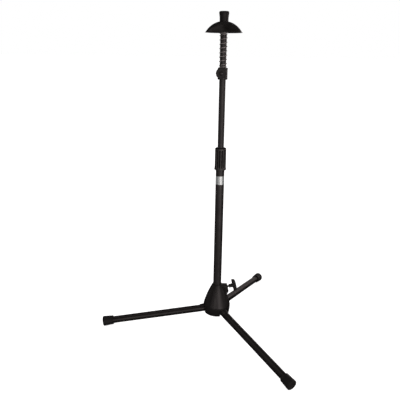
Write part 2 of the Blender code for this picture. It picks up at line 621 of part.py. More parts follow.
def make_clutch(mast, finishes):
    """Threaded ferrule in the mast, split collet, thrust ring and the fluted grip over them."""
    plug_radius = MAST_INSIDE - SEAT_GAP
    bore = EXT_BORE + COLLET_WALL + SEAT_GAP
    cone = bore + COLLET_CONE
    cone_start = FERRULE_TOP - COLLET_CONE_LENGTH
    head = MAST_RADIUS
    place("clutch_ferrule", turned([
        (plug_radius, FERRULE_BOTTOM), (plug_radius, FERRULE_SHOULDER), (head, FERRULE_SHOULDER),
        (head, FERRULE_TOP), (cone, FERRULE_TOP), (bore, cone_start),
        (bore, FERRULE_SHOULDER + COLLET_SEAT),
        (EXT_BORE, FERRULE_SHOULDER + COLLET_SEAT), (EXT_BORE, FERRULE_BOTTOM)], HIDDEN_ROUND),
        finishes["nylon"], mast)

    flare = cone - SEAT_GAP
    collet = place("clutch_collet", turned([
        (EXT_BORE, COLLET_BOTTOM), (bore - SEAT_GAP, COLLET_BOTTOM),
        (bore - SEAT_GAP, cone_start + SEAT_GAP),
        (flare, FERRULE_TOP + SEAT_GAP), (flare, COLLET_TOP), (EXT_BORE, COLLET_TOP)], HIDDEN_ROUND),
        finishes["nylon"], mast)
    for turn in around(COLLET_SLITS):
        slit = block((0, -SLIT_WIDTH / 2, COLLET_TOP - SLIT_LENGTH),
                     (2 * flare, SLIT_WIDTH / 2, COLLET_TOP + 1 * MM))
        cut(collet, tool(slit, mast, rotation=(0, 0, turn)))

    place("clutch_ring", turned([
        (EXT_BORE, RING_BOTTOM), (flare, RING_BOTTOM, 0.5 * MM), (flare, RING_TOP),
        (EXT_BORE, RING_TOP)], HIDDEN_ROUND),
        finishes["nylon"], mast)

    inside = GRIP_RADIUS - GRIP_WALL
    grip = place("clutch_grip", turned([
        (MAST_BORE, GRIP_BOTTOM), (GRIP_FOOT_RADIUS, GRIP_BOTTOM, 0.8 * MM),
        (GRIP_FOOT_RADIUS, GRIP_BOTTOM + 2 * MM),
        (GRIP_RADIUS + 0.2 * MM, GRIP_BOTTOM + 8 * MM), (GRIP_RADIUS, GRIP_TOP, GRIP_SHOULDER),
        (EXT_BORE, GRIP_TOP, 0.5 * MM), (EXT_BORE, CEILING), (inside, CEILING),
        (inside, GRIP_BOTTOM + GRIP_SKIRT),
        (MAST_BORE, GRIP_BOTTOM + GRIP_SKIRT - 2 * MM)]), finishes["plastic"], mast)
    low = GRIP_BOTTOM + FLUTE_MARGIN + FLUTE_RADIUS
    high = GRIP_TOP - FLUTE_MARGIN - FLUTE_RADIUS
    for turn in around(FLUTES):
        out = GRIP_RADIUS + FLUTE_RADIUS - FLUTE_DEPTH
        heading = turn + FLUTE_TURN
        spot = (out * math.cos(heading), out * math.sin(heading), 0)
        cut(grip, tool(capsule(FLUTE_RADIUS, low, high), mast, spot))


def capsule(radius, low, high):
    """A round bar with half-round ends."""
    outline = []
    for step in range(3):
        angle = math.pi / 2 * (step / 2 - 1)
        outline.append((radius * math.cos(angle) if step else 0, low + radius * math.sin(angle)))
    for step in range(3):
        angle = math.pi / 2 * step / 2
        outline.append((radius * math.cos(angle) if step < 2 else 0, high + radius * math.sin(angle)))
    return turned(outline, 10)


def make_extension(mast, finishes):
    """Upper tube, its glide at the bottom and the bush at its top."""
    plug_radius = EXT_INSIDE - SEAT_GAP
    place("extension_tube", tube(EXT_INSIDE, EXT_RADIUS, GLIDE_TOP + SEAT_GAP, EXT_TOP),
          finishes["paint"], mast)
    place("extension_glide", turned([
        (0, GLIDE_TOP - GLIDE_FLANGE), (MAST_INSIDE - SEAT_GAP, GLIDE_TOP - GLIDE_FLANGE, 0.8 * MM),
        (MAST_INSIDE - SEAT_GAP, GLIDE_TOP), (plug_radius, GLIDE_TOP),
        (plug_radius, GLIDE_TOP + GLIDE_PLUG, 0.8 * MM),
        (0, GLIDE_TOP + GLIDE_PLUG)], HIDDEN_ROUND), finishes["nylon"], mast)
    rod_bore = ROD_RADIUS + SEAT_GAP
    flange_bottom = BUSH_TOP - BUSH_FLANGE
    place("tube_top_bush", turned([
        (rod_bore, BUSH_TOP), (EXT_RADIUS, BUSH_TOP, 0.5 * MM), (EXT_RADIUS, flange_bottom),
        (plug_radius, flange_bottom),
        (plug_radius, EXT_TOP - BUSH_SPIGOT), (rod_bore, EXT_TOP - BUSH_SPIGOT)], HIDDEN_ROUND),
        finishes["nylon"], mast)


def make_collar(mast, thumb, finishes):
    """Sliding collar with rims and a boss, its pad, screw and round knob."""
    rim = COLLAR_RADIUS + COLLAR_RIM
    collar = place("spring_collar", turned([
        (EXT_BORE, COLLAR_BOTTOM), (rim, COLLAR_BOTTOM, 0.8 * MM),
        (rim, COLLAR_BOTTOM + COLLAR_RIM_HEIGHT),
        (COLLAR_RADIUS, COLLAR_BOTTOM + COLLAR_RIM_HEIGHT + COLLAR_RIM),
        (COLLAR_RADIUS, COLLAR_TOP - COLLAR_RIM_HEIGHT - COLLAR_RIM),
        (rim, COLLAR_TOP - COLLAR_RIM_HEIGHT), (rim, COLLAR_TOP, 0.8 * MM), (EXT_BORE, COLLAR_TOP)]),
        finishes["plastic"], mast)
    boss = turned([(0, EXT_BORE + 1.5 * MM), (COLLAR_BOSS_RADIUS, EXT_BORE + 1.5 * MM),
                   (COLLAR_BOSS_RADIUS, COLLAR_BOSS_REACH, 0.8 * MM), (0, COLLAR_BOSS_REACH)],
                  HUB_AND_BOSS_ROUND)
    add(collar, tool(boss, thumb))
    cut(collar, tool(rod(STUD_RADIUS + SEAT_GAP, 0, 2 * COLLAR_BOSS_REACH), thumb))

    pad_end = EXT_BORE + PAD_LENGTH
    pad = place("collar_pad", rod(STUD_RADIUS, EXT_RADIUS / 2, pad_end), finishes["nylon"], thumb)
    cut(pad, tool(rod(EXT_BORE, COLLAR_BOTTOM, COLLAR_TOP, ROUND), mast))

    neck = COLLAR_BOSS_REACH + 2 * SEAT_GAP
    under = neck + KNOB_NECK
    face = under + KNOB_THICKNESS
    stud_end = face - 3 * MM
    place("thumb_stud", rod(STUD_RADIUS, pad_end + SEAT_GAP, stud_end, edge=0.5 * MM),
          finishes["steel"], thumb)
    rim = KNOB_RADIUS * KNOB_RIM_SHARE
    dish = [(rim - KNOB_DISH, face - KNOB_DISH), (KNOB_BUTTON_RADIUS + KNOB_DISH, face - KNOB_DISH)]
    for share in (1, 0.75, 0.5, 0.25):
        dish.append((KNOB_BUTTON_RADIUS * share, face + KNOB_DOME * (1 - share ** 2)))
    knob = place("thumb_knob", turned([
        (0, neck), (KNOB_NECK_RADIUS, neck, 0.6 * MM), (KNOB_NECK_RADIUS, under),
        (KNOB_RADIUS, under, 1.4 * MM),
        (KNOB_RADIUS, face, 2.6 * MM), (rim, face), *dish, (0, face + KNOB_DOME)]),
        finishes["plastic"], thumb)
    cut(knob, tool(rod(STUD_RADIUS + SEAT_GAP, 0, stud_end + SEAT_GAP), thumb))
    for turn in around(KNOB_LOBES):
        scallop = rod(5 * KNOB_SCALLOP, under - 1 * MM, face + KNOB_DOME)
        out = KNOB_RADIUS + 4 * KNOB_SCALLOP
        cut(knob, tool(scallop, thumb, (out * math.cos(turn), out * math.sin(turn), 0)))


def spring_points():
    """A right-handed helix with one closed turn at each end, against the collar and the washer."""
    radius = (EXT_BORE + SPRING_WIRE_RADIUS) / math.cos(math.pi / SPRING_POINTS_PER_TURN)
    bottom = COLLAR_TOP + SEAT_GAP + SPRING_WIRE_RADIUS
    top = WASHER_BOTTOM - SEAT_GAP - SPRING_WIRE_RADIUS
    open_turns = (top - bottom - 2 * SPRING_END_PITCH) / SPRING_PITCH
    steps = round((open_turns + 2) * SPRING_POINTS_PER_TURN)
    points = []
    for step in range(steps + 1):
        turn = (open_turns + 2) * step / steps
        opened = min(max(turn - 1, 0), open_turns)
        height = bottom + SPRING_END_PITCH * (turn - opened) + SPRING_PITCH * opened
        angle = SPRING_START + math.tau * turn
        points.append(Vector((radius * math.cos(angle), radius * math.sin(angle), height)))
    return points


def least_gap(points, apart):
    """The least gap between stretches of a tube that lie more than so many points apart."""
    gaps = []
    for index, point in enumerate(points):
        for other in points[index + apart:]:
            gaps.append((other - point).length)
    return min(gaps) - 2 * SPRING_WIRE_RADIUS


def make_spring(mast, steel):
    """Compression spring between the collar and the rest's washer, one unbroken wire."""
    points = spring_points()
    curve = bpy.data.curves.new("bell_spring", 'CURVE')
    curve.dimensions = '3D'
    curve.bevel_depth = SPRING_WIRE_RADIUS
    curve.bevel_resolution = 1
    curve.use_fill_caps = True
    line = curve.splines.new('POLY')
    line.points.add(len(points) - 1)
    for target, point in zip(line.points, points):
        target.co = (*point, 1)
    curve.materials.append(steel)
    spring = bpy.data.objects.new("bell_spring", curve)
    bpy.context.collection.objects.link(spring)
    spring.parent = mast
    gap = least_gap(points, SPRING_POINTS_PER_TURN // 2)
    print(f"bell_spring: least gap to itself {gap / MM:.2f} mm")


def make_bell_rest(mast, finishes):
    """Washer on the spring, spacer, dome, plug and the rod that guides them in the tube."""
    place("rest_washer", turned([
        (EXT_BORE, WASHER_BOTTOM), (WASHER_RADIUS, WASHER_BOTTOM, 0.4 * MM),
        (WASHER_RADIUS, WASHER_TOP, 0.4 * MM),
        (EXT_BORE, WASHER_TOP)], HIDDEN_ROUND), finishes["steel"], mast)
    spacer_bottom = WASHER_TOP + SEAT_GAP
    spacer_top = DOME_UNDER - SEAT_GAP
    place("dome_spacer", tube(EXT_BORE, SPACER_RADIUS, spacer_bottom, spacer_top),
          finishes["plastic"], mast)

    rod_bore = ROD_RADIUS + SEAT_GAP
    outer = dome_arc(DOME_SPHERE, DOME_FLAT_RADIUS, DOME_RIM_RADIUS, 9)
    inner_sphere = DOME_SPHERE - DOME_WALL
    inner_flat = math.sqrt(inner_sphere ** 2 - (DOME_UNDER - DOME_CENTRE) ** 2)
    lip_radius = DOME_RIM_RADIUS + DOME_LIP
    lip_under = DOME_RIM - DOME_LIP_DROP
    inner_rim = lip_radius - DOME_LIP_WIDTH
    inner = dome_arc(inner_sphere, inner_flat, inner_rim, 6)
    place("bell_dome", turned([
        (rod_bore, DOME_UNDER), (rod_bore, DOME_SEAT), *outer,
        (lip_radius, DOME_RIM, 0.9 * MM), (lip_radius, lip_under, 1 * MM),
        (lip_radius - DOME_LIP_WIDTH, lip_under, 1 * MM), *inner[::-1]], DOME_ROUND),
        finishes["rubber"], mast)

    straight_top = PLUG_BOTTOM + PLUG_STRAIGHT
    lip_bottom = PLUG_TOP - PLUG_LIP
    flare = []
    for step in range(1, 5):
        share = step / 5
        flare.append((PLUG_RADIUS + (PLUG_LIP_RADIUS - 0.3 * MM - PLUG_RADIUS) * share ** 1.3,
                      straight_top + (lip_bottom - straight_top) * share))
    tang_top = DOME_SEAT + ROD_TANG
    plug = place("bell_plug", turned([
        (0, PLUG_BOTTOM), (PLUG_RADIUS, PLUG_BOTTOM), (PLUG_RADIUS, straight_top), *flare,
        (PLUG_LIP_RADIUS, lip_bottom, 0.6 * MM), (PLUG_LIP_RADIUS, PLUG_TOP, PLUG_LIP_EDGE),
        (0, PLUG_TOP)], ROUND), finishes["rubber"], mast)
    cut(plug, tool(rod(rod_bore, DOME_UNDER, tang_top + SEAT_GAP), mast))

    place("bell_rod", turned([
        (0, CLIP_BOTTOM - ROD_END), (ROD_RADIUS, CLIP_BOTTOM - ROD_END, 0.5 * MM),
        (ROD_RADIUS, ROD_FLANGE_BOTTOM),
        (ROD_FLANGE_RADIUS, ROD_FLANGE_BOTTOM, 0.4 * MM), (ROD_FLANGE_RADIUS, ROD_FLANGE_TOP),
        (ROD_RADIUS, ROD_FLANGE_TOP), (ROD_RADIUS, tang_top, 0.5 * MM), (0, tang_top)], HIDDEN_ROUND),
        finishes["steel"], mast)
    place("rod_clip", tube(ROD_RADIUS + SEAT_GAP, CLIP_RADIUS, CLIP_BOTTOM, CLIP_TOP, HIDDEN_ROUND),
          finishes["steel"], mast)


def dome_arc(sphere, start, end, steps):
    """Radius and height along a sphere's meridian, evenly spaced from one radius to another."""
    first = math.asin(start / sphere)
    last = math.asin(end / sphere)
    points = []
    for step in range(steps + 1):
        angle = first + (last - first) * step / steps
        points.append((sphere * math.sin(angle), DOME_CENTRE + sphere * math.cos(angle)))
    return points


def build():
    for item in list(bpy.data.objects):
        bpy.data.objects.remove(item)
    finishes = {
        "paint": finish("black paint", (0.018, 0.018, 0.018), 0.38),
        "plastic": finish("black plastic", (0.016, 0.016, 0.017), 0.45),
        "rubber": finish("black rubber", (0.014, 0.014, 0.014), 0.6),
        "nylon": finish("dark nylon", (0.03, 0.03, 0.032), 0.5),
        "steel": finish("blackened steel", (0.12, 0.12, 0.125), 0.35, 0.9),
    }
    mast = frame("mast_axis", (MAST_X, 0, 0))
    clamp = frame("clamp_axis", (0, 0, CLAMP_ORIGIN), (0, math.pi / 2 - CLAMP_TILT, 0), mast)
    thumb = frame("thumb_axis", (0, 0, KNOB_HEIGHT), (0, math.pi / 2, KNOB_HEADING), mast)
    leg_roots = []
    for number, heading in enumerate(LEG_HEADINGS, 1):
        angle = math.radians(heading)
        spot = (PIN_CIRCLE * math.cos(angle), PIN_CIRCLE * math.sin(angle), PIN_HEIGHT)
        root = frame(f"leg_root_{number}", spot, (0, 0, angle), mast)
        pivot = frame(f"leg_pivot_{number}", (0, 0, 0), (0, LEG_SLOPE, 0), root)
        make_leg(number, root, pivot, finishes)
        leg_roots.append(root)
    make_hub_base(mast, leg_roots, finishes["plastic"])
    make_hub_cover(mast, clamp, finishes["plastic"])
    make_hub_screws(mast, finishes["steel"])
    make_clamp(mast, clamp, finishes)
    make_mast(mast, finishes)
    make_clutch(mast, finishes)
    make_extension(mast, finishes)
    make_collar(mast, thumb, finishes)
    make_spring(mast, finishes["steel"])
    make_bell_rest(mast, finishes)
    weld_cuts()


build()
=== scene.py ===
import math

import bpy
from mathutils import Matrix, Vector


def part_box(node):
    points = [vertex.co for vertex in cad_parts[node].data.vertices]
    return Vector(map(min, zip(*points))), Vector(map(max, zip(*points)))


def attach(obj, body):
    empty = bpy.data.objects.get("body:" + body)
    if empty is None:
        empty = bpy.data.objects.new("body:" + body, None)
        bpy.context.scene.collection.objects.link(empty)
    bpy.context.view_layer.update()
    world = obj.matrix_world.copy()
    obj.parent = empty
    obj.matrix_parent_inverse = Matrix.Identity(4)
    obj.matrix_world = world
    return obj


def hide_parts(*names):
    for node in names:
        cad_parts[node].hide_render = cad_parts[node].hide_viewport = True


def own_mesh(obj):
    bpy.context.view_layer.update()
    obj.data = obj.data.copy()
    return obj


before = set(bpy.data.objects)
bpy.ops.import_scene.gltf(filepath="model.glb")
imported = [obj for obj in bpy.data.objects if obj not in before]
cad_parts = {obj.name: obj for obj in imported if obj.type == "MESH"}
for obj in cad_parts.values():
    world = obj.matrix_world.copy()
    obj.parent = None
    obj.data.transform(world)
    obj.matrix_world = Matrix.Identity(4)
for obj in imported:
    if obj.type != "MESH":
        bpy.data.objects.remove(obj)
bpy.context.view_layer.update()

# Leg tubes: three straight 19 mm steel tubes, cut square and powder coated in semi-gloss black.
# Each is pushed onto the spigot of its moulded knuckle, which turns on a pin in the hub, and
# slopes down and out to its rubber foot.
mm = 0.001
low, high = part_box("mast_tube")
mast_x = (low.x + high.x) / 2
leg_headings = (180, 300, 60)
pin_circle = 25 * mm
pin_height = 56.8 * mm
leg_slope = math.radians(8.545)
leg_end = 296.9 * mm
leg_radius = 9.5 * mm
leg_bore = 8.3 * mm
tube_start = 11 * mm
tube_end = leg_end - 4.3 * mm


def softened(outline, steps=5):
    """Round every corner of an outline that is given with a third value, its radius."""
    points = []
    for index, corner in enumerate(outline):
        here = Vector(corner[:2])
        if len(corner) == 2:
            points.append(here)
            continue
        back = Vector(outline[index - 1][:2]) - here
        ahead = Vector(outline[(index + 1) % len(outline)][:2]) - here
        half = back.angle(ahead) / 2
        setback = min(corner[2] / math.tan(half), 0.45 * back.length, 0.45 * ahead.length)
        radius = setback * math.tan(half)
        middle = here + (back.normalized() + ahead.normalized()).normalized() * radius / math.sin(half)
        start = here + back.normalized() * setback - middle
        end = here + ahead.normalized() * setback - middle
        first = math.atan2(start.y, start.x)
        sweep = (math.atan2(end.y, end.x) - first + math.pi) % math.tau - math.pi
        for step in range(steps + 1):
            angle = first + sweep * step / steps
            points.append(middle + Vector((math.cos(angle), math.sin(angle))) * radius)
    return points


def mesh_piece(name, verts, faces, sharp=38):
    """An object from points and faces, facing outwards and shaded smooth between its sharp edges."""
    mesh = bpy.data.meshes.new(name)
    mesh.from_pydata([tuple(vert) for vert in verts], [], faces)
    mesh.validate()
    mesh.shade_smooth()
    mesh.set_sharp_from_angle(angle=math.radians(sharp))
    piece = bpy.data.objects.new(name, mesh)
    bpy.context.scene.collection.objects.link(piece)
    return piece


def spun(name, outline, around=96, shape=None, sharp=38):
    """Turn an outline of radius and height, drawn anticlockwise, round Z; shape may change a radius by its angle."""
    verts = []
    rings = []
    for radius, height in softened(outline):
        if radius < 1e-7:
            rings.append([len(verts)])
            verts.append((0, 0, height))
            continue
        ring = []
        for step in range(around):
            angle = math.tau * step / around
            reach = shape(radius, height, angle) if shape else radius
            ring.append(len(verts))
            verts.append((reach * math.cos(angle), reach * math.sin(angle), height))
        rings.append(ring)
    follow = rings[1:]
    if len(rings[0]) > 1 and len(rings[-1]) > 1:
        follow = follow + rings[:1]
    faces = []
    for ring, above in zip(rings, follow):
        for step in range(around):
            ahead = (step + 1) % around
            if len(ring) == 1 and len(above) == 1:
                break
            if len(ring) == 1:
                faces.append((ring[0], above[ahead], above[step]))
            elif len(above) == 1:
                faces.append((ring[step], ring[ahead], above[0]))
            else:
                faces.append((ring[step], ring[ahead], above[ahead], above[step]))
    return mesh_piece(name, verts, faces, sharp)


def leg_root(heading):
    """The leg pin's frame: X points outwards, level."""
    turn = Matrix.Rotation(math.radians(heading), 4, 'Z')
    return Matrix.Translation((mast_x, 0, 0)) @ turn @ Matrix.Translation((pin_circle, 0, pin_height))


def leg_frame(heading):
    """The leg's own frame: Z runs down its axis from the pin."""
    slope = Matrix.Rotation(leg_slope, 4, 'Y')
    return leg_root(heading) @ slope @ Matrix.Rotation(math.pi / 2, 4, 'Y')


def finish_nodes(name, roughness, metallic=0.0, specular=0.5):
    """A new material with its shader, object coordinates and node tools."""
    material = bpy.data.materials.new(name)
    material.use_nodes = True
    tree = material.node_tree
    shader = tree.nodes["Principled BSDF"]
    shader.inputs["Roughness"].default_value = roughness
    shader.inputs["Metallic"].default_value = metallic
    shader.inputs["Specular IOR Level"].default_value = specular
    where = tree.nodes.new("ShaderNodeTexCoord")
    return material, tree, shader, where.outputs["Object"]


def noise(tree, where, scale, detail=3.0, stretch=None):
    """A noise texture, stretched along an axis where the finish runs one way."""
    texture = tree.nodes.new("ShaderNodeTexNoise")
    texture.inputs["Scale"].default_value = scale
    texture.inputs["Detail"].default_value = detail
    if stretch:
        mapping = tree.nodes.new("ShaderNodeMapping")
        mapping.inputs["Scale"].default_value = stretch
        tree.links.new(where, mapping.inputs["Vector"])
        where = mapping.outputs["Vector"]
    tree.links.new(where, texture.inputs["Vector"])
    return texture.outputs["Fac"]


def shades(tree, value, stops):
    """A colour ramp through several stops."""
    ramp = tree.nodes.new("ShaderNodeValToRGB")
    elements = ramp.color_ramp.elements
    while len(elements) < len(stops):
        elements.new(0.5)
    for element, (place, colour) in zip(elements, stops):
        element.position = place
        element.color = (*colour, 1)
    tree.links.new(value, ramp.inputs["Fac"])
    return ramp.outputs["Color"]


def spread(tree, value, low, high, start=0.3, end=0.7):
    """A value rescaled from one range to another."""
    scaled = tree.nodes.new("ShaderNodeMapRange")
    scaled.inputs["From Min"].default_value = start
    scaled.inputs["From Max"].default_value = end
    scaled.inputs["To Min"].default_value = low
    scaled.inputs["To Max"].default_value = high
    tree.links.new(value, scaled.inputs["Value"])
    return scaled.outputs["Result"]


def relief(tree, shader, heights, strength):
    """Bumps chained onto the shader's normal: (height socket, depth in metres) pairs."""
    normal = None
    for height, depth in heights:
        bump = tree.nodes.new("ShaderNodeBump")
        bump.inputs["Strength"].default_value = strength
        bump.inputs["Distance"].default_value = depth
        tree.links.new(height, bump.inputs["Height"])
        if normal:
            tree.links.new(normal, bump.inputs["Normal"])
        normal = bump.outputs["Normal"]
    tree.links.new(normal, shader.inputs["Normal"])


def powder_coat(name, dark, light, gloss=(0.36, 0.46)):
    """Semi-gloss black powder coat: slight orange peel, cloudy gloss and a fine grain."""
    material, tree, shader, where = finish_nodes(name, 0.4, specular=0.55)
    clouds = noise(tree, where, 38, 4)
    colour = shades(tree, clouds, [(0.35, dark), (0.65, light)])
    tree.links.new(colour, shader.inputs["Base Color"])
    tree.links.new(spread(tree, noise(tree, where, 90, 5), *gloss), shader.inputs["Roughness"])
    peel = noise(tree, where, 520, 1)
    fine = noise(tree, where, 1900, 2)
    relief(tree, shader, [(peel, 0.00018), (fine, 0.00003)], 0.5)
    return material


leg_paint = powder_coat("leg powder coat", (0.0076, 0.0067, 0.0066), (0.0135, 0.012, 0.0118), (0.25, 0.34))
for number, heading in enumerate(leg_headings, 1):
    tube = spun(f"painted_leg_{number}", [
        (leg_bore, tube_start, 0.3 * mm), (leg_radius, tube_start, 0.5 * mm), (leg_radius, 60 * mm),
        (leg_radius, 140 * mm), (leg_radius, 220 * mm), (leg_radius, tube_end, 0.5 * mm),
        (leg_bore, tube_end, 0.3 * mm)], 72)
    tube.matrix_world = leg_frame(heading)
    tube.data.materials.append(leg_paint)
    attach(tube, f"leg_{number}")
    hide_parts(f"leg_tube_{number}")

# Foot cups: moulded black rubber cups pushed over the leg tubes, flared towards the floor end.
# The mouth has a soft bead, the end face a shallow dimple, and the lower rim of each is worn
# to a small flat where the stand rests on the floor.
cup_mouth = leg_end - 28 * mm
cup_socket = 9.8 * mm
cup_outline = [
    (0, leg_end - 4 * mm), (cup_socket, leg_end - 4 * mm), (cup_socket, cup_mouth, 0.4 * mm),
    (12.15 * mm, cup_mouth, 0.7 * mm), (12.35 * mm, cup_mouth + 1.8 * mm, 0.8 * mm),
    (12.2 * mm, cup_mouth + 3 * mm, 0.8 * mm), (12.6 * mm, cup_mouth + 9 * mm, 9 * mm),
    (13.3 * mm, leg_end - 8 * mm, 9 * mm), (13.5 * mm, leg_end - 4 * mm, 3 * mm),
    (13.5 * mm, leg_end, 1.3 * mm), (6.4 * mm, leg_end, 0.4 * mm), (5.6 * mm, leg_end - 0.6 * mm, 0.4 * mm),
    (0, leg_end - 0.75 * mm)]


def black_rubber(name, dark, light, gloss):
    """Matt moulded rubber: faint bloom in clouds, fine pores and a soft grazing sheen."""
    material, tree, shader, where = finish_nodes(name, 0.62, specular=0.4)
    bloom = noise(tree, where, 60, 6)
    tree.links.new(shades(tree, bloom, [(0.3, dark), (0.7, light)]), shader.inputs["Base Color"])
    tree.links.new(spread(tree, noise(tree, where, 160, 4), *gloss), shader.inputs["Roughness"])
    pores = tree.nodes.new("ShaderNodeTexVoronoi")
    pores.inputs["Scale"].default_value = 1500
    tree.links.new(where, pores.inputs["Vector"])
    relief(tree, shader, [(bloom, 0.00015), (pores.outputs["Distance"], 0.00004)], 0.4)
    shader.inputs["Sheen Weight"].default_value = 0.03
    shader.inputs["Sheen Roughness"].default_value = 0.5
    return material


cup_rubber = black_rubber("foot cup rubber", (0.0063, 0.0057, 0.0055), (0.0118, 0.0106, 0.0104), (0.5, 0.66))
for number, heading in enumerate(leg_headings, 1):
    cup = spun(f"rubber_foot_{number}", cup_outline[::-1], 80)
    cup.matrix_world = leg_frame(heading)
    to_world = cup.matrix_world.copy()
    to_local = to_world.inverted()
    for vert in cup.data.vertices:
        spot = to_world @ vert.co
        if spot.z < 0:
            spot.z = 0
            vert.co = to_local @ spot
    cup.data.materials.append(cup_rubber)
    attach(cup, f"leg_{number}")
    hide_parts(f"foot_cap_{number}")

# Knuckles and pins: a nylon eye plugs each leg tube and turns on a plain steel pin that lies in a
# groove of the hub base. They show only from below and when the stand is folded.


def nylon(name, dark, light):
    """Moulded nylon: satin, with faint flow marks."""
    material, tree, shader, where = finish_nodes(name, 0.45, specular=0.45)
    flow = noise(tree, where, 45, 3, (1, 1, 0.3))
    tree.links.new(shades(tree, flow, [(0.35, dark), (0.65, light)]), shader.inputs["Base Color"])
    tree.links.new(spread(tree, flow, 0.38, 0.55), shader.inputs["Roughness"])
    relief(tree, shader, [(noise(tree, where, 700, 2), 0.00005)], 0.4)
    return material


def dark_steel(name, dark, light, gloss, run=(1, 1, 14), metal=0.85):
    """Blackened steel: turning marks that run round the piece and a slightly uneven oxide."""
    material, tree, shader, where = finish_nodes(name, 0.3, metallic=metal)
    oxide = noise(tree, where, 120, 4)
    marks = noise(tree, where, 110, 3, run)
    tree.links.new(shades(tree, oxide, [(0.3, dark), (0.7, light)]), shader.inputs["Base Color"])
    tree.links.new(spread(tree, marks, *gloss), shader.inputs["Roughness"])
    relief(tree, shader, [(marks, 0.00003)], 0.5)
    return material


inner_nylon = nylon("knuckle nylon", (0.014, 0.014, 0.015), (0.024, 0.024, 0.025))
pin_steel = dark_steel("pin steel", (0.16, 0.16, 0.165), (0.26, 0.26, 0.265), (0.28, 0.42))
for number, heading in enumerate(leg_headings, 1):
    for node in (f"leg_knuckle_{number}", f"leg_pin_{number}"):
        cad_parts[node].data.materials.clear()
    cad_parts[f"leg_knuckle_{number}"].data.materials.append(inner_nylon)
    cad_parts[f"leg_pin_{number}"].data.materials.append(pin_steel)

# Hub base: the lower moulding, black glass-filled nylon, with a slot for each leg and a short
# arched hood that hugs the tube. Its pins lie in grooves, and three screws from below hold the
# bell on it.
base_bottom = 46.5 * mm
base_top = 69.7 * mm
hub_radius = 36.9 * mm
foot_radius = 34.8 * mm
screw_circle = 25.3 * mm
mast_bore = 11.4 * mm
slot_radius = 9.9 * mm
slot_half = 10.5 * mm
channel_radius = 9.8 * mm
hood_radius = 12 * mm


def bowed(start, end, bulge, steps):
    """Points of a shallow arc from start to end, bulging to its right; the ends are left out."""
    start, end = Vector(start), Vector(end)
    side = Vector(((end - start).y, -(end - start).x)).normalized()
    points = []
    for step in range(1, steps):
        share = step / steps
        points.append(tuple(start + (end - start) * share + side * bulge * 4 * share * (1 - share)))
    return points


def slab(name, outline, start, end, edge=0.0, across='Y'):
    """An outline of X and height, or of Y and height, drawn anticlockwise, carried from start to end, edges eased."""
    points = softened(outline, 6)
    layers = [(start, 0.0), (end, 0.0)]
    if edge:
        ease = []
        for step in range(5):
            angle = math.pi / 2 * step / 4
            ease.append((edge * (1 - math.sin(angle)), edge * (1 - math.cos(angle))))
        layers = [(start + rise, inset) for inset, rise in ease] + [(end - rise, inset) for inset, rise in ease[::-1]]
    count = len(points)
    normals = []
    for index in range(count):
        along = (points[(index + 1) % count] - points[index - 1]).normalized()
        normals.append(Vector((-along.y, along.x)))
    verts = []
    for place, inset in layers:
        for point, inward in zip(points, normals):
            spot = point + inward * inset
            verts.append((spot.x, place, spot.y) if across == 'Y' else (place, spot.x, spot.y))
    faces = [tuple(range(count)), tuple(range(len(verts) - 1, len(verts) - count - 1, -1))]
    for layer in range(len(layers) - 1):
        for index in range(count):
            ahead = (index + 1) % count
            a, b = layer * count + index, layer * count + ahead
            faces.append((a, a + count, b + count, b))
    if across == 'X':
        faces = [face[::-1] for face in faces]
    return mesh_piece(name, verts, faces)


def worked(piece, steps, solver='EXACT'):
    """Join shapes to a piece or cut them out of it, in order, and keep the result as its mesh."""
    for tool, join in steps:
        step = piece.modifiers.new("work", 'BOOLEAN')
        step.operation = 'UNION' if join else 'DIFFERENCE'
        step.object = tool
        step.solver = solver
    bpy.context.view_layer.update()
    done = bpy.data.meshes.new_from_object(piece.evaluated_get(bpy.context.evaluated_depsgraph_get()))
    piece.modifiers.clear()
    piece.data = done
    done.materials.clear()
    done.shade_smooth()
    done.set_sharp_from_angle(angle=math.radians(32))
    for tool, join in steps:
        bpy.data.objects.remove(tool)
    return piece


skirt = bowed((foot_radius, base_bottom), (hub_radius, base_top), 0.7 * mm, 10)
base = spun("hub_skirt", [
    (15.6 * mm, base_bottom), (foot_radius, base_bottom, 3.2 * mm), *skirt, (hub_radius, base_top, 0.4 * mm),
    (mast_bore, base_top), (mast_bore, 50.2 * mm), (15.6 * mm, 50.2 * mm)], 120)
base.location = (mast_x, 0, 0)
base_work = []
for heading in leg_headings:
    arch = []
    for step in range(25):
        angle = math.radians(26 + 128 * step / 24)
        arch.append((hood_radius * math.cos(angle), hood_radius * math.sin(angle)))
    hood = slab("hood", arch, 6.4 * mm, 21 * mm, 0.9 * mm, 'X')
    for vert in hood.data.vertices:
        taper = 1 - 0.075 * max(0, vert.co.x - 8 * mm) / (13 * mm)
        vert.co.y *= taper
        vert.co.z *= taper
    hood.matrix_world = leg_root(heading) @ Matrix.Rotation(leg_slope, 4, 'Y')
    base_work.append((hood, True))
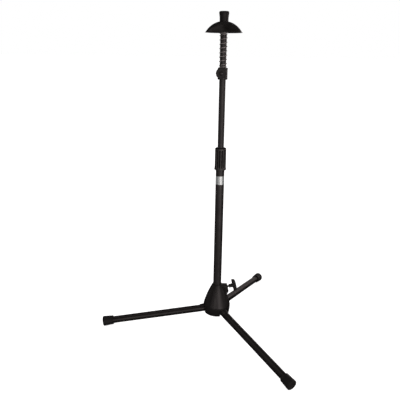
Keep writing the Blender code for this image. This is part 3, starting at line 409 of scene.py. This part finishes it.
for heading in leg_headings:
    slot = []
    for step in range(17):
        angle = math.pi - (math.pi / 2 + leg_slope) * step / 16
        slot.append((slot_radius * math.cos(angle), slot_radius * math.sin(angle)))
    out = 9 * mm
    slot.append((slot[-1][0] + out * math.cos(leg_slope), slot[-1][1] - out * math.sin(leg_slope)))
    slot.append((slot[-1][0], -20 * mm))
    slot.append((-slot_radius, -20 * mm))
    leg_slot = slab("slot", slot[::-1], -slot_half, slot_half)
    groove = [(2.6 * mm, 140 * mm), (-2.6 * mm, 140 * mm)]
    for step in range(13):
        angle = math.pi + math.pi * step / 12
        groove.append((2.6 * mm * math.cos(angle), 2.6 * mm * math.sin(angle)))
    pin_groove = slab("groove", groove, -13.4 * mm, 13.4 * mm)
    for tool in (leg_slot, pin_groove):
        tool.matrix_world = leg_root(heading)
        base_work.append((tool, False))
    channel = [(channel_radius, -60 * mm)]
    for step in range(32):
        angle = math.pi * step / 31
        channel.append((channel_radius * math.cos(angle), channel_radius * math.sin(angle)))
    channel.append((-channel_radius, -60 * mm))
    leg_channel = slab("channel", channel, 8 * mm, 80 * mm, 0, 'X')
    leg_channel.matrix_world = leg_root(heading) @ Matrix.Rotation(leg_slope, 4, 'Y')
    base_work.append((leg_channel, False))
for heading in (0, 120, 240):
    hole = spun("hole", [
        (0, 0), (3.9 * mm, 0), (3.9 * mm, 49.5 * mm), (2.2 * mm, 49.5 * mm), (2.2 * mm, 140 * mm), (0, 140 * mm)], 32)
    angle = math.radians(heading)
    hole.location = (mast_x + screw_circle * math.cos(angle), screw_circle * math.sin(angle), 0)
    base_work.append((hole, False))
worked(base, base_work, 'MANIFOLD')


def moulded_plastic(name, dark, light, gloss, grain=2100):
    """Black moulding: a fine eroded grain, cloudy gloss and slightly paler, rubbed edges."""
    material, tree, shader, where = finish_nodes(name, 0.45, specular=0.45)
    clouds = noise(tree, where, 30, 4)
    base_colour = shades(tree, clouds, [(0.35, dark), (0.65, light)])
    place = tree.nodes.new("ShaderNodeNewGeometry")
    edge = spread(tree, place.outputs["Pointiness"], 0, 0.5, 0.53, 0.62)
    rubbed = tree.nodes.new("ShaderNodeMix")
    rubbed.data_type = 'RGBA'
    rubbed.inputs["B"].default_value = (0.035, 0.034, 0.034, 1)
    tree.links.new(edge, rubbed.inputs["Factor"])
    tree.links.new(base_colour, rubbed.inputs["A"])
    tree.links.new(rubbed.outputs["Result"], shader.inputs["Base Color"])
    tree.links.new(spread(tree, noise(tree, where, 75, 5), *gloss), shader.inputs["Roughness"])
    relief(tree, shader, [(noise(tree, where, grain, 2), 0.00005), (noise(tree, where, 240, 2), 0.00008)], 0.45)
    return material


hub_plastic = moulded_plastic("hub plastic", (0.0088, 0.0078, 0.0076), (0.014, 0.0125, 0.0122), (0.25, 0.34))
base.data.materials.append(hub_plastic)
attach(base, "hub")
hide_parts("hub_base")

# Hub bell: the hollow upper moulding, in the same black plastic. Its outline bows in towards the
# mast, a sleeve inside guides the tube, and a squared boss on one side carries the clamp screw
# and its trapped nut.
bell_bottom = 70 * mm
bell_top = 130.8 * mm
neck_radius = 12.9 * mm
sleeve = 14.2 * mm
clamp_tilt = math.radians(14.5)
clamp_height = 114.3 * mm


def across_clamp(along, across):
    """Radius and height of a point along and across the clamp screw's axis."""
    return (along * math.cos(clamp_tilt) - across * math.sin(clamp_tilt),
            clamp_height + along * math.sin(clamp_tilt) + across * math.cos(clamp_tilt))


clamp_frame = (Matrix.Translation((mast_x, 0, clamp_height))
               @ Matrix.Rotation(math.pi / 2 - clamp_tilt, 4, 'Y'))
outside = bowed((hub_radius, bell_bottom), (neck_radius, bell_top), 1.9 * mm, 24)
inside = bowed((hub_radius - 3 * mm, bell_bottom), (neck_radius - 3 * mm, bell_top), 1.9 * mm, 24)
inside = [(hub_radius - 3 * mm, bell_bottom)] + [point for point in inside if point[0] > sleeve + 1 * mm]
bell = spun("hub_bell", [
    (mast_bore, bell_top, 0.4 * mm), (mast_bore, bell_bottom), (sleeve, bell_bottom),
    (sleeve, inside[-1][1] + 3 * mm), *inside[::-1], (hub_radius, bell_bottom, 0.5 * mm), *outside,
    (neck_radius, bell_top, 0.7 * mm)], 144)
bell.location = (mast_x, 0, 0)
boss_top = 127.2 * mm
boss_reach = (29.9 * mm - (boss_top - clamp_height) * math.sin(clamp_tilt)) / math.cos(clamp_tilt)
boss = slab("boss", [
    (12.9 * mm, boss_top), (12.9 * mm, 92.3 * mm), across_clamp(23.9 * mm, -18.53 * mm),
    (*across_clamp(29.9 * mm, -11.2 * mm), 2 * mm), (boss_reach, boss_top, 1.6 * mm)],
    -9.5 * mm, 9.5 * mm, 1.4 * mm)
boss.location = (mast_x, 0, 0)
bell_work = [(boss, True)]
for heading in (0, 120, 240):
    angle = math.radians(heading)
    spot = (mast_x + screw_circle * math.cos(angle), screw_circle * math.sin(angle), 0)
    pillar = spun("pillar", [(0, 70 * mm), (4.6 * mm, 70 * mm), (4.6 * mm, 91 * mm), (0, 91 * mm)], 32)
    hole = spun("hole", [(0, 0), (2.2 * mm, 0), (2.2 * mm, 87.5 * mm), (0, 87.5 * mm)], 24)
    pillar.location = spot
    hole.location = spot
    bell_work.insert(0, (pillar, True))
    bell_work.append((hole, False))
stud_bore = spun("bore", [
    (0, 0), (4.6 * mm, 0), (4.6 * mm, 18.4 * mm), (3.3 * mm, 18.4 * mm), (3.3 * mm, 29.3 * mm),
    (3.9 * mm, 30 * mm), (3.9 * mm, 60 * mm), (0, 60 * mm)], 40)
nut_pocket = slab("pocket", [
    (-5.3 * mm, 19.7 * mm), (19.2 * mm, 19.7 * mm), (19.2 * mm, 25.3 * mm), (-5.3 * mm, 25.3 * mm)],
    -6.42 * mm, 6.42 * mm)
for tool in (stud_bore, nut_pocket):
    tool.matrix_world = clamp_frame
    bell_work.append((tool, False))
worked(bell, bell_work)
bell.data.materials.append(hub_plastic)
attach(bell, "hub")
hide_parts("hub_cover")

for node in ("hub_screw_1", "hub_screw_2", "hub_screw_3", "clamp_nut"):
    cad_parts[node].data.materials.clear()
    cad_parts[node].data.materials.append(pin_steel)
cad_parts["clamp_shoe"].data.materials.clear()
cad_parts["clamp_shoe"].data.materials.append(inner_nylon)

# Clamp screw: a moulded wing handle on a black M6 screw. It runs through the boss into the trapped
# nut and presses a nylon shoe on the mast. The wings stand upright in the photograph.


def threaded(name, radius, pitch, start, end, around=40):
    """A screw's shank with a real helical thread, run out and chamfered at both ends."""
    depth = 0.55 * pitch
    steps = int((end - start) / pitch * 10)
    verts = [(0, 0, start)]
    for step in range(steps + 1):
        height = start + (end - start) * step / steps
        fade = min(1, (height - start) / (1.2 * pitch), (end - height) / (1.2 * pitch))
        chamfer = 0.35 * pitch * (1 - min(1, (height - start) / (0.5 * pitch), (end - height) / (0.5 * pitch)))
        for turn in range(around):
            angle = math.tau * turn / around
            ridge = abs(((height / pitch - turn / around) % 1) * 2 - 1)
            reach = radius - depth * fade * (1 - min(1, ridge * 1.15)) - chamfer
            verts.append((reach * math.cos(angle), reach * math.sin(angle), height))
    verts.append((0, 0, end))
    faces = []
    for turn in range(around):
        ahead = (turn + 1) % around
        faces.append((0, 1 + ahead, 1 + turn))
        faces.append((len(verts) - 1, len(verts) - 1 - around + turn, len(verts) - 1 - around + ahead))
        for step in range(steps):
            a = 1 + step * around
            faces.append((a + turn, a + ahead, a + around + ahead, a + around + turn))
    return mesh_piece(name, verts, faces, 60)


screw_steel = dark_steel("black screw steel", (0.035, 0.035, 0.037), (0.075, 0.075, 0.078), (0.3, 0.48))
stud = threaded("clamp_thread", 3 * mm, 1 * mm, 15.7 * mm, 48.4 * mm)
stud.matrix_world = clamp_frame
stud.data.materials.append(screw_steel)
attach(stud, "wing_screw")
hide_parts("wing_stud")

wing_side = [
    (4.2 * mm, 41.6 * mm, 1 * mm), (6.7 * mm, 43.6 * mm, 2.5 * mm), (13 * mm, 43.6 * mm, 8 * mm),
    (18.4 * mm, 44.2 * mm, 1.7 * mm), (16.3 * mm, 52.6 * mm, 2.4 * mm), (10.5 * mm, 53.9 * mm, 7 * mm),
    (4.5 * mm, 54.4 * mm, 4 * mm)]
wing_outline = wing_side + [(-corner[0], *corner[1:]) for corner in wing_side[::-1]]
wings = slab("wing_grip", wing_outline, -3 * mm, 3 * mm, 1.5 * mm)
wing_hub = spun("hub", [
    (0, 33.6 * mm), (5.2 * mm, 33.6 * mm, 0.8 * mm), (5.2 * mm, 46 * mm), (5.2 * mm, 51 * mm, 2.2 * mm),
    (0, 52.4 * mm)], 64)
wing_bore = spun("bore", [(0, 30 * mm), (3.3 * mm, 30 * mm), (3.3 * mm, 48.7 * mm), (0, 48.7 * mm)], 40)
for piece in (wings, wing_hub, wing_bore):
    piece.matrix_world = clamp_frame
worked(wings, [(wing_hub, True), (wing_bore, False)])
wings.data.materials.append(moulded_plastic("wing plastic", (0.007, 0.0065, 0.0064), (0.0115, 0.0105, 0.0103), (0.4, 0.52)))
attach(wings, "wing_screw")
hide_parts("wing_handle")

# Mast: a 22 mm steel tube, powder coated like the legs. It slides in the hub and is kept in it by
# a flanged nylon stop at its lower end.
mast_radius = 11.1 * mm
mast_inside = 9.9 * mm
# The mast's coat is the legs' powder coat drawn lighter, to stand in for the light that falls on the mast: painted
# light.
mast_coat_painted_lighter = powder_coat("mast powder coat painted lighter", (0.0145, 0.0128, 0.0125), (0.0245, 0.0218, 0.0213), (0.3, 0.4))
mast = spun("painted_mast", [
    (mast_inside, 50.2 * mm, 0.3 * mm), (mast_radius, 50.2 * mm, 0.5 * mm), (mast_radius, 150 * mm),
    (mast_radius, 250 * mm), (mast_radius, 350 * mm), (mast_radius, 474.7 * mm, 0.4 * mm), (mast_inside, 474.7 * mm)], 96)
mast.location = (mast_x, 0, 0)
mast.data.materials.append(mast_coat_painted_lighter)
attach(mast, "mast")
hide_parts("mast_tube")
for node in ("mast_end_stop", "clutch_ferrule", "clutch_collet", "clutch_ring", "extension_glide", "tube_top_bush", "collar_pad"):
    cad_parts[node].data.materials.clear()
    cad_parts[node].data.materials.append(inner_nylon)

# Sticker: a bare silver foil label wrapped round the front of the mast under the grip, with
# rounded corners and a slightly uneven, satin face.
sticker_low = 416.6 * mm
sticker_high = 438.7 * mm
sticker_half = math.radians(84)
sticker_heading = math.radians(270)
corner = 2.2 * mm
rows = []
for step in range(7):
    angle = math.pi / 2 * step / 6
    rows.append((corner * (1 - math.cos(angle)), corner * (1 - math.sin(angle))))
spans = [(sticker_low + rise, inset) for rise, inset in rows]
spans += [(sticker_high - rise, inset) for rise, inset in rows[::-1]]
columns = 56
verts = []
faces = []
for reach in (mast_radius + 0.16 * mm, mast_radius + 0.03 * mm):
    for height, inset in spans:
        half = sticker_half - inset / mast_radius
        for column in range(columns + 1):
            angle = sticker_heading + half * (2 * column / columns - 1)
            verts.append((reach * math.cos(angle), reach * math.sin(angle), height))
width = columns + 1
layer = width * len(spans)
for row in range(len(spans) - 1):
    for column in range(columns):
        a = row * width + column
        faces.append((a, a + 1, a + width + 1, a + width))
        faces.append((layer + a, layer + a + width, layer + a + width + 1, layer + a + 1))
for column in range(columns):
    top = (len(spans) - 1) * width + column
    faces.append((column, layer + column, layer + column + 1, column + 1))
    faces.append((top, top + 1, layer + top + 1, layer + top))
for row in range(len(spans) - 1):
    left = row * width
    right = left + columns
    faces.append((left, left + width, layer + left + width, layer + left))
    faces.append((right, layer + right, layer + right + width, right + width))
sticker = mesh_piece("bare_sticker", verts, faces, 50)
sticker.location = (mast_x, 0, 0)
film, tree, shader, where = finish_nodes("sticker foil", 0.35, metallic=0.75)
film_clouds = noise(tree, where, 55, 5)
foil = shades(tree, film_clouds, [(0.3, (0.86, 0.95, 0.94)), (0.7, (0.9, 0.985, 0.98))])
tree.links.new(foil, shader.inputs["Base Color"])
tree.links.new(spread(tree, noise(tree, where, 200, 3), 0.2, 0.32), shader.inputs["Roughness"])
relief(tree, shader, [(noise(tree, where, 150, 2), 0.0001)], 0.3)
sticker.data.materials.append(film)
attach(sticker, "mast")



def around_axis(tree, near, far):
    """A map over the distance from the piece's own axis, from near to far."""
    spot = tree.nodes.new("ShaderNodeTexCoord")
    flat = tree.nodes.new("ShaderNodeVectorMath")
    flat.operation = 'MULTIPLY'
    flat.inputs[1].default_value = (1, 1, 0)
    span = tree.nodes.new("ShaderNodeVectorMath")
    span.operation = 'LENGTH'
    ramp = tree.nodes.new("ShaderNodeMapRange")
    ramp.inputs["From Min"].default_value = near
    ramp.inputs["From Max"].default_value = far
    tree.links.new(spot.outputs["Object"], flat.inputs[0])
    tree.links.new(flat.outputs["Vector"], span.inputs[0])
    tree.links.new(span.outputs["Value"], ramp.inputs["Value"])
    return ramp


# Twist grip: a fluted black plastic sleeve over the collet that locks the upper tube. The flutes
# run out before both ends, the top is rounded, and the foot flares a little.
grip_bottom = 455 * mm
grip_top = 511.2 * mm
flutes = 14
flute_turn = math.radians(0.9)
flute_depth = 1.25 * mm
flute_half = 2.1 * mm


def fluted(radius, height, angle):
    """The grip's radius, less the depth of its flutes."""
    if radius < 12.6 * mm:
        return radius
    ends = min(1, max(0, (height - grip_bottom - 5 * mm) / (2.6 * mm)), max(0, (grip_top - 5 * mm - height) / (2.6 * mm)))
    depth = flute_depth * math.sqrt(max(0, 1 - (1 - ends) ** 2))
    step = math.tau / flutes
    aside = abs((angle - flute_turn + step / 2) % step - step / 2) * radius / flute_half
    if aside >= 1:
        return radius
    return radius - depth * math.sqrt(1 - aside ** 2)


side = []
for step in range(29):
    share = step / 28
    height = grip_bottom + (4 + 46.8 * share) * mm
    radius = 14.25 + 0.2 * (1 - share) + 0.5 * max(0, 1 - share * 7) ** 2
    side.append((radius * mm, height))
grip = spun("fluted_grip", [
    (11.4 * mm, grip_bottom, 0.4 * mm), (15.35 * mm, grip_bottom, 0.9 * mm),
    (15.35 * mm, grip_bottom + 2.4 * mm, 1 * mm), *side, (14.25 * mm, grip_top, 5.6 * mm),
    (8.25 * mm, grip_top, 0.6 * mm), (8.25 * mm, 504.5 * mm), (12.05 * mm, 504.5 * mm),
    (12.05 * mm, 469 * mm), (11.4 * mm, 467 * mm)], 264, fluted, 50)
grip.location = (mast_x, 0, 0)
grip_plastic = moulded_plastic("grip plastic", (0.0165, 0.0146, 0.0143), (0.0255, 0.0228, 0.0224), (0.32, 0.42), 1700)
tree = grip_plastic.node_tree
shader = tree.nodes["Principled BSDF"]
# Towards the floor of each flute the specular level drops and the base colour is darkened: painted shade in the
# grooves.
shine = around_axis(tree, 13.5 * mm, 14.15 * mm)
shine.inputs["To Min"].default_value = 0.1
shine.inputs["To Max"].default_value = 0.95
tree.links.new(shine.outputs["Result"], shader.inputs["Specular IOR Level"])
depth = around_axis(tree, 13.3 * mm, 14.1 * mm)
depth.inputs["To Min"].default_value = 0.25
painted_groove_shade = tree.nodes.new("ShaderNodeVectorMath")
painted_groove_shade.operation = 'SCALE'
tree.links.new(shader.inputs["Base Color"].links[0].from_socket, painted_groove_shade.inputs[0])
tree.links.new(depth.outputs["Result"], painted_groove_shade.inputs["Scale"])
tree.links.new(painted_groove_shade.outputs["Vector"], shader.inputs["Base Color"])
grip.data.materials.append(grip_plastic)
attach(grip, "clutch_grip")
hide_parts("clutch_grip")

# Extension: a 16 mm steel tube, powder coated, that slides out of the mast and carries the collar,
# the spring and the bell rest.
ext_radius = 7.95 * mm
extension = spun("painted_extension", [
    (6.95 * mm, 295 * mm), (ext_radius, 295 * mm, 0.3 * mm), (ext_radius, 400 * mm), (ext_radius, 520 * mm),
    (ext_radius, 640 * mm), (ext_radius, 782.4 * mm, 0.3 * mm), (6.95 * mm, 782.4 * mm)], 80)
extension.location = (mast_x, 0, 0)
# This coat is the legs' powder coat drawn lighter, to stand in for the light that falls on the extension: painted
# light.
extension.data.materials.append(powder_coat("extension powder coat painted lighter", (0.0135, 0.0119, 0.0117), (0.0225, 0.02, 0.0196), (0.34, 0.44)))
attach(extension, "extension")
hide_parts("extension_tube")

# Spring collar: a black plastic ring with a raised rim at each end and a round boss for the thumb
# screw. It slides on the extension and the spring stands on it.
collar_low = 679 * mm
collar_high = 707 * mm
knob_heading = math.radians(258.2)
thumb_frame = (Matrix.Translation((mast_x, 0, 694.4 * mm)) @ Matrix.Rotation(knob_heading, 4, 'Z')
               @ Matrix.Rotation(math.pi / 2, 4, 'Y'))
collar = spun("collar_ring", [
    (8.25 * mm, collar_low, 0.4 * mm), (12.1 * mm, collar_low, 0.9 * mm),
    (12.1 * mm, collar_low + 4 * mm, 0.4 * mm), (11.9 * mm, collar_low + 4.3 * mm, 0.3 * mm),
    (11.9 * mm, collar_high - 4.7 * mm, 0.3 * mm), (12.1 * mm, collar_high - 4.4 * mm, 0.4 * mm),
    (12.1 * mm, collar_high, 2.6 * mm), (8.25 * mm, collar_high, 0.4 * mm)], 96)
collar.location = (mast_x, 0, 0)
collar_boss = spun("boss", [(0, 9.75 * mm), (7.5 * mm, 9.75 * mm), (7.5 * mm, 15 * mm, 0.9 * mm), (0, 15 * mm)], 64)
collar_bore = spun("bore", [(0, 0), (3.3 * mm, 0), (3.3 * mm, 30 * mm), (0, 30 * mm)], 40)
collar_boss.matrix_world = thumb_frame
collar_bore.matrix_world = thumb_frame
worked(collar, [(collar_boss, True), (collar_bore, False)])
collar.data.materials.append(moulded_plastic("collar plastic", (0.0175, 0.0155, 0.0151), (0.027, 0.024, 0.0235), (0.34, 0.46)))
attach(collar, "collar")
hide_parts("spring_collar")

# Thumb screw: a round black knob with a domed face and ten shallow finger scallops, moulded on a
# black M6 screw that presses a nylon pad on the tube.


def lobed(radius, height, angle):
    """The knob's rim, drawn in between its lobes."""
    if radius < 9 * mm:
        return radius
    wave = max(0, math.cos(10 * angle)) ** 2
    return radius - 0.4 * mm * wave * min(1, (radius - 9 * mm) / (3 * mm))


knob = spun("thumb_grip", [
    (0, 15.6 * mm), (6.5 * mm, 15.6 * mm, 0.7 * mm), (6.5 * mm, 18.2 * mm, 0.5 * mm), (12.95 * mm, 18.2 * mm, 1.6 * mm),
    (12.95 * mm, 22 * mm), (12.95 * mm, 24 * mm), (12.95 * mm, 27.2 * mm, 2.6 * mm), (10.9 * mm, 27.2 * mm, 0.8 * mm),
    (10.1 * mm, 26.6 * mm, 0.8 * mm), (5.4 * mm, 26.2 * mm, 0.5 * mm), (4.6 * mm, 27.15 * mm, 0.5 * mm), (4.1 * mm, 27.48 * mm),
    (3.4 * mm, 27.83 * mm), (2.5 * mm, 28.19 * mm), (1.6 * mm, 28.43 * mm), (0.8 * mm, 28.56 * mm), (0, 28.6 * mm)], 144, lobed)
knob_bore = spun("bore", [(0, 0), (3.3 * mm, 0), (3.3 * mm, 24.5 * mm), (0, 24.5 * mm)], 40)
for piece in (knob, knob_bore):
    piece.matrix_world = thumb_frame
worked(knob, [(knob_bore, False)])
knob_plastic = moulded_plastic("knob plastic", (0.0155, 0.0138, 0.0133), (0.0235, 0.0209, 0.0202), (0.5, 0.62))
tree = knob_plastic.node_tree
polish = around_axis(tree, 4.3 * mm, 5.1 * mm)
polish.inputs["To Min"].default_value = 0.19
tree.links.new(tree.nodes["Principled BSDF"].inputs["Roughness"].links[0].from_socket, polish.inputs["To Max"])
tree.links.new(polish.outputs["Result"], tree.nodes["Principled BSDF"].inputs["Roughness"])
knob.data.materials.append(knob_plastic)
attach(knob, "thumb_screw")
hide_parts("thumb_knob")
screw = threaded("thumb_thread", 3 * mm, 1 * mm, 11.35 * mm, 24.2 * mm)
screw.matrix_world = thumb_frame
screw.data.materials.append(screw_steel)
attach(screw, "thumb_screw")
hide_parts("thumb_stud")

# Bell spring: one open coil of 1.2 mm wire round the extension tube, with a closed turn at each end
# that stands on the collar and under the washer. It is black oxide steel, but its colour is a light
# grey all over, so that its turns read bright: a painted highlight.
wire_radius = 0.6 * mm
coil_radius = 9.1 * mm
spring_low = 707.3 * mm
spring_high = 785.7 * mm
closed_pitch = 2.2 * mm
open_pitch = 9.75 * mm
open_turns = (spring_high - spring_low - 2 * wire_radius - 2 * closed_pitch) / open_pitch
per_turn = 40
steps = round((open_turns + 2) * per_turn)
centre_line = []
for step in range(steps + 1):
    turn = (open_turns + 2) * step / steps
    opened = 0
    for near in (-0.12, -0.06, 0, 0.06, 0.12):
        opened += min(max(turn + near - 1, 0), open_turns) / 5
    angle = math.radians(130) + math.tau * turn
    centre_line.append(Vector((coil_radius * math.cos(angle), coil_radius * math.sin(angle),
                               spring_low + wire_radius + closed_pitch * (turn - opened) + open_pitch * opened)))
sides = 14
verts = []
faces = []
for index, point in enumerate(centre_line):
    before = centre_line[max(0, index - 1)]
    after = centre_line[min(len(centre_line) - 1, index + 1)]
    along = (after - before).normalized()
    outward = Vector((point.x, point.y, 0)).normalized()
    outward = (outward - along * outward.dot(along)).normalized()
    sideways = along.cross(outward)
    for side_step in range(sides):
        angle = math.tau * side_step / sides
        verts.append(point + (outward * math.cos(angle) + sideways * math.sin(angle)) * wire_radius)
for index in range(len(centre_line) - 1):
    for side_step in range(sides):
        ahead = (side_step + 1) % sides
        a = index * sides
        faces.append((a + side_step, a + ahead, a + sides + ahead, a + sides + side_step))
faces.append(tuple(range(sides - 1, -1, -1)))
faces.append(tuple(range(len(verts) - sides, len(verts))))
spring = mesh_piece("coil_spring", verts, faces, 60)
spring.location = (mast_x, 0, 0)
# Light grey wire colour, much lighter than black oxide: painted highlight on the turns.
spring.data.materials.append(dark_steel(
    "spring wire", (0.5, 0.47, 0.46), (0.72, 0.68, 0.67), (0.26, 0.38), (1, 1, 1), 0.6))
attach(spring, "collar")
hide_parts("bell_spring")
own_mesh(spring)

# Washer, spacer and guide rod: a steel thrust washer on top of the spring, a plastic sleeve from it
# to the underside of the dome, and the rod and clip that guide the rest inside the tube.
washer = spun("thrust_washer", [
    (8.25 * mm, 786 * mm, 0.2 * mm), (10.6 * mm, 786 * mm, 0.4 * mm), (10.6 * mm, 788 * mm, 0.4 * mm), (8.25 * mm, 788 * mm, 0.2 * mm)], 72)
sleeve_piece = spun("dome_sleeve", [
    (8.25 * mm, 788.3 * mm, 0.3 * mm), (10.4 * mm, 788.3 * mm, 0.5 * mm), (10.4 * mm, 808.1 * mm), (8.25 * mm, 808.1 * mm)], 72)
washer.data.materials.append(pin_steel)
sleeve_piece.data.materials.append(hub_plastic)
for piece, body, node, slot_name in (
        (washer, "rest_washer", "rest_washer", "blackened_steel"), (sleeve_piece, "bell_rest", "dome_spacer", "black_plastic")):
    piece.location = (mast_x, 0, 0)
    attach(piece, body)
    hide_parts(node)
for node in ("bell_rod", "rod_clip"):
    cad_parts[node].data.materials.clear()
    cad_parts[node].data.materials.append(pin_steel)

# Bell dome: a thin moulded rubber dome, 89 mm across, that the bell's rim rests on. Its edge has
# a low rounded bead and its top a small flat seat for the plug.
dome_centre = 762.198 * mm
dome_rim = 787.2 * mm
dome_lip = 786.6 * mm


def meridian(sphere, start, end, steps):
    """Radius and height along a sphere, from one radius to another."""
    first, last = math.asin(start / sphere), math.asin(end / sphere)
    points = []
    for step in range(steps + 1):
        angle = first + (last - first) * step / steps
        points.append((sphere * math.sin(angle), dome_centre + sphere * math.cos(angle)))
    return points


outer = meridian(50 * mm, 12.5 * mm, 43.3 * mm, 30)
inner = meridian(47.8 * mm, math.sqrt(47.8 ** 2 - (808.41 - 762.198) ** 2) * mm, math.sqrt(47.8 ** 2 - 25.0 ** 2) * mm, 24)
dome = spun("rubber_dome", [
    (4.3 * mm, 808.41 * mm), *inner, (40.8 * mm, dome_lip, 1 * mm), (44.4 * mm, dome_lip, 1 * mm),
    (44.4 * mm, dome_rim + 0.1 * mm, 0.9 * mm), *outer[::-1], (4.3 * mm, 810.61 * mm)], 128)
dome.location = (mast_x, 0, 0)
dome.data.materials.append(black_rubber("dome rubber", (0.0075, 0.0065, 0.006), (0.0135, 0.012, 0.0115), (0.24, 0.34)))
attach(dome, "bell_rest")
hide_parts("bell_dome")

# Bell plug: a solid rubber plug that slips into the bell's throat. Its lower half is straight, and
# it flares to a rounded lip at the top.
flare = []
for step in range(1, 12):
    share = step / 12
    flare.append(((10.45 + 1.15 * share ** 1.3) * mm, (818 + 10 * share) * mm))
plug = spun("rubber_plug", [
    (0, 810.91 * mm), (10.45 * mm, 810.91 * mm, 0.3 * mm), (10.45 * mm, 816 * mm), (10.45 * mm, 818 * mm), *flare,
    (11.9 * mm, 830 * mm, 2 * mm), (11.2 * mm, 833.4 * mm, 3 * mm), (7 * mm, 833.91 * mm, 2 * mm), (0, 833.91 * mm)], 96)
plug_bore = spun("bore", [(0, 800 * mm), (4.3 * mm, 800 * mm), (4.3 * mm, 826.9 * mm), (0, 826.9 * mm)], 32)
for piece in (plug, plug_bore):
    piece.location = (mast_x, 0, 0)
worked(plug, [(plug_bore, False)])
plug.data.materials.append(black_rubber("plug rubber", (0.0045, 0.004, 0.0038), (0.0082, 0.0072, 0.007), (0.46, 0.58)))
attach(plug, "bell_rest")
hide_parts("bell_plug")

# Floor, light and camera: a plain white sweep that is lit from beneath, as for a packshot, so that
# it throws almost no shadow. A tall softbox stands right of the camera, a small one above it, and
# dim panels stand beside and behind the stand. The camera has the photograph's angle.
reach = 60.0
floor = mesh_piece("studio_floor", [
    (-reach, -reach, 0), (reach, -reach, 0), (reach, reach, 0), (-reach, reach, 0)], [(0, 1, 2, 3)])
floor.location = (0, 0, -0.0004)
pale, tree, shader, where = finish_nodes("pale floor", 0.7, specular=0.2)
paper = shades(tree, noise(tree, where, 3, 3), [(0.3, (0.9, 0.9, 0.9)), (0.7, (0.93, 0.93, 0.93))])
tree.links.new(paper, shader.inputs["Base Color"])
tree.links.new(spread(tree, noise(tree, where, 40, 3), 0.65, 0.8), shader.inputs["Roughness"])
tree.links.new(paper, shader.inputs["Emission Color"])
shader.inputs["Emission Strength"].default_value = 0.92
floor.data.materials.append(pale)
floor.visible_glossy = False
floor.visible_diffuse = False
floor.visible_shadow = False

world = bpy.data.worlds.new("studio")
world.use_nodes = True
background = world.node_tree.nodes["Background"]
background.inputs["Color"].default_value = (1, 1, 1, 1)
seen = world.node_tree.nodes.new("ShaderNodeLightPath")
strength = world.node_tree.nodes.new("ShaderNodeMapRange")
strength.inputs["To Min"].default_value = 0.42
strength.inputs["To Max"].default_value = 1.0
world.node_tree.links.new(seen.outputs["Is Camera Ray"], strength.inputs["Value"])
world.node_tree.links.new(strength.outputs["Result"], background.inputs["Strength"])
world.cycles_visibility.glossy = False
bpy.context.scene.world = world
bpy.context.scene.view_settings.view_transform = 'Standard'


def soft_light(name, heading, rise, distance, width, height, brightness):
    """A large soft panel that faces the stand: degrees right of the camera's side, and height of its middle."""
    light = bpy.data.lights.new(name, 'AREA')
    light.shape = 'RECTANGLE'
    light.size = width
    light.size_y = height
    light.energy = brightness * math.pi * width * height
    light.color = (1.0, 0.88, 0.865)
    lamp = bpy.data.objects.new(name, light)
    bpy.context.scene.collection.objects.link(lamp)
    angle = math.radians(heading)
    spot = Vector((mast_x + distance * math.sin(angle), -distance * math.cos(angle), rise))
    lamp.location = spot
    lamp.rotation_mode = 'QUATERNION'
    lamp.rotation_quaternion = (Vector((mast_x, 0, min(rise, 0.4))) - spot).to_track_quat('-Z', 'Y')
    lamp.visible_camera = False
    return lamp


for heading, brightness in ((-45, 0.42), (-20, 0.98), (0, 0.5), (18, 1.5), (34, 0.85), (50, 0.25)):
    soft_light("low softbox", heading, 0.4, 2.5, 0.9, 0.8, brightness)
for heading, brightness in ((-45, 0.2), (-20, 0.5), (0, 0.33), (20, 1.2), (38, 0.75), (56, 0.4)):
    soft_light("floor bounce", heading, -0.35, 2.4, 0.9, 0.7, brightness)
for heading, brightness in ((0, 0.9), (25, 1.65), (45, 0.55)):
    soft_light("middle softbox", heading, 1.05, 2.4, 0.9, 0.6, brightness)
soft_light("small left softbox", -25, 1.3, 2.4, 0.4, 0.4, 0.9)
soft_light("small right softbox", 46, 1.1, 2.4, 0.4, 0.4, 0.6)
soft_light("right panel", 85, 0.4, 2.5, 2.2, 0.8, 0.22)
soft_light("side panel", 112, 1.1, 2.4, 1.4, 1.0, 1.9)
soft_light("back panel", 150, 0.6, 2.8, 2.4, 2.2, 0.4)
soft_light("overhead panel", -100, 3.0, 0.9, 1.6, 1.6, 0.26)
soft_light("left panel", -105, 2.2, 2.0, 2.2, 1.0, 0.28)
soft_light("low left panel", -100, 0.5, 2.5, 3.0, 1.8, 0.1)
soft_light("front panel", -28, 2.9, 1.2, 1.0, 1.6, 0.2)

view_heading = math.radians(1.575)
pitch = math.radians(17.4)
roll = math.radians(0.77)
ahead = Vector((math.sin(view_heading) * math.cos(pitch), math.cos(view_heading) * math.cos(pitch), -math.sin(pitch)))
level = Vector((math.cos(view_heading), -math.sin(view_heading), 0))
upward = level.cross(ahead)
right = level * math.cos(roll) + upward * math.sin(roll)
up = upward * math.cos(roll) - level * math.sin(roll)
lens = bpy.data.cameras.new("photo camera")
lens.lens = 42.75
lens.sensor_width = 36
lens.clip_start = 0.01
camera = bpy.data.objects.new("photo camera", lens)
bpy.context.scene.collection.objects.link(camera)
camera.matrix_world = Matrix((
    (right.x, up.x, -ahead.x, -0.0084), (right.y, up.y, -ahead.y, -1.1855), (right.z, up.z, -ahead.z, 0.7441), (0, 0, 0, 1)))
bpy.context.scene.camera = camera
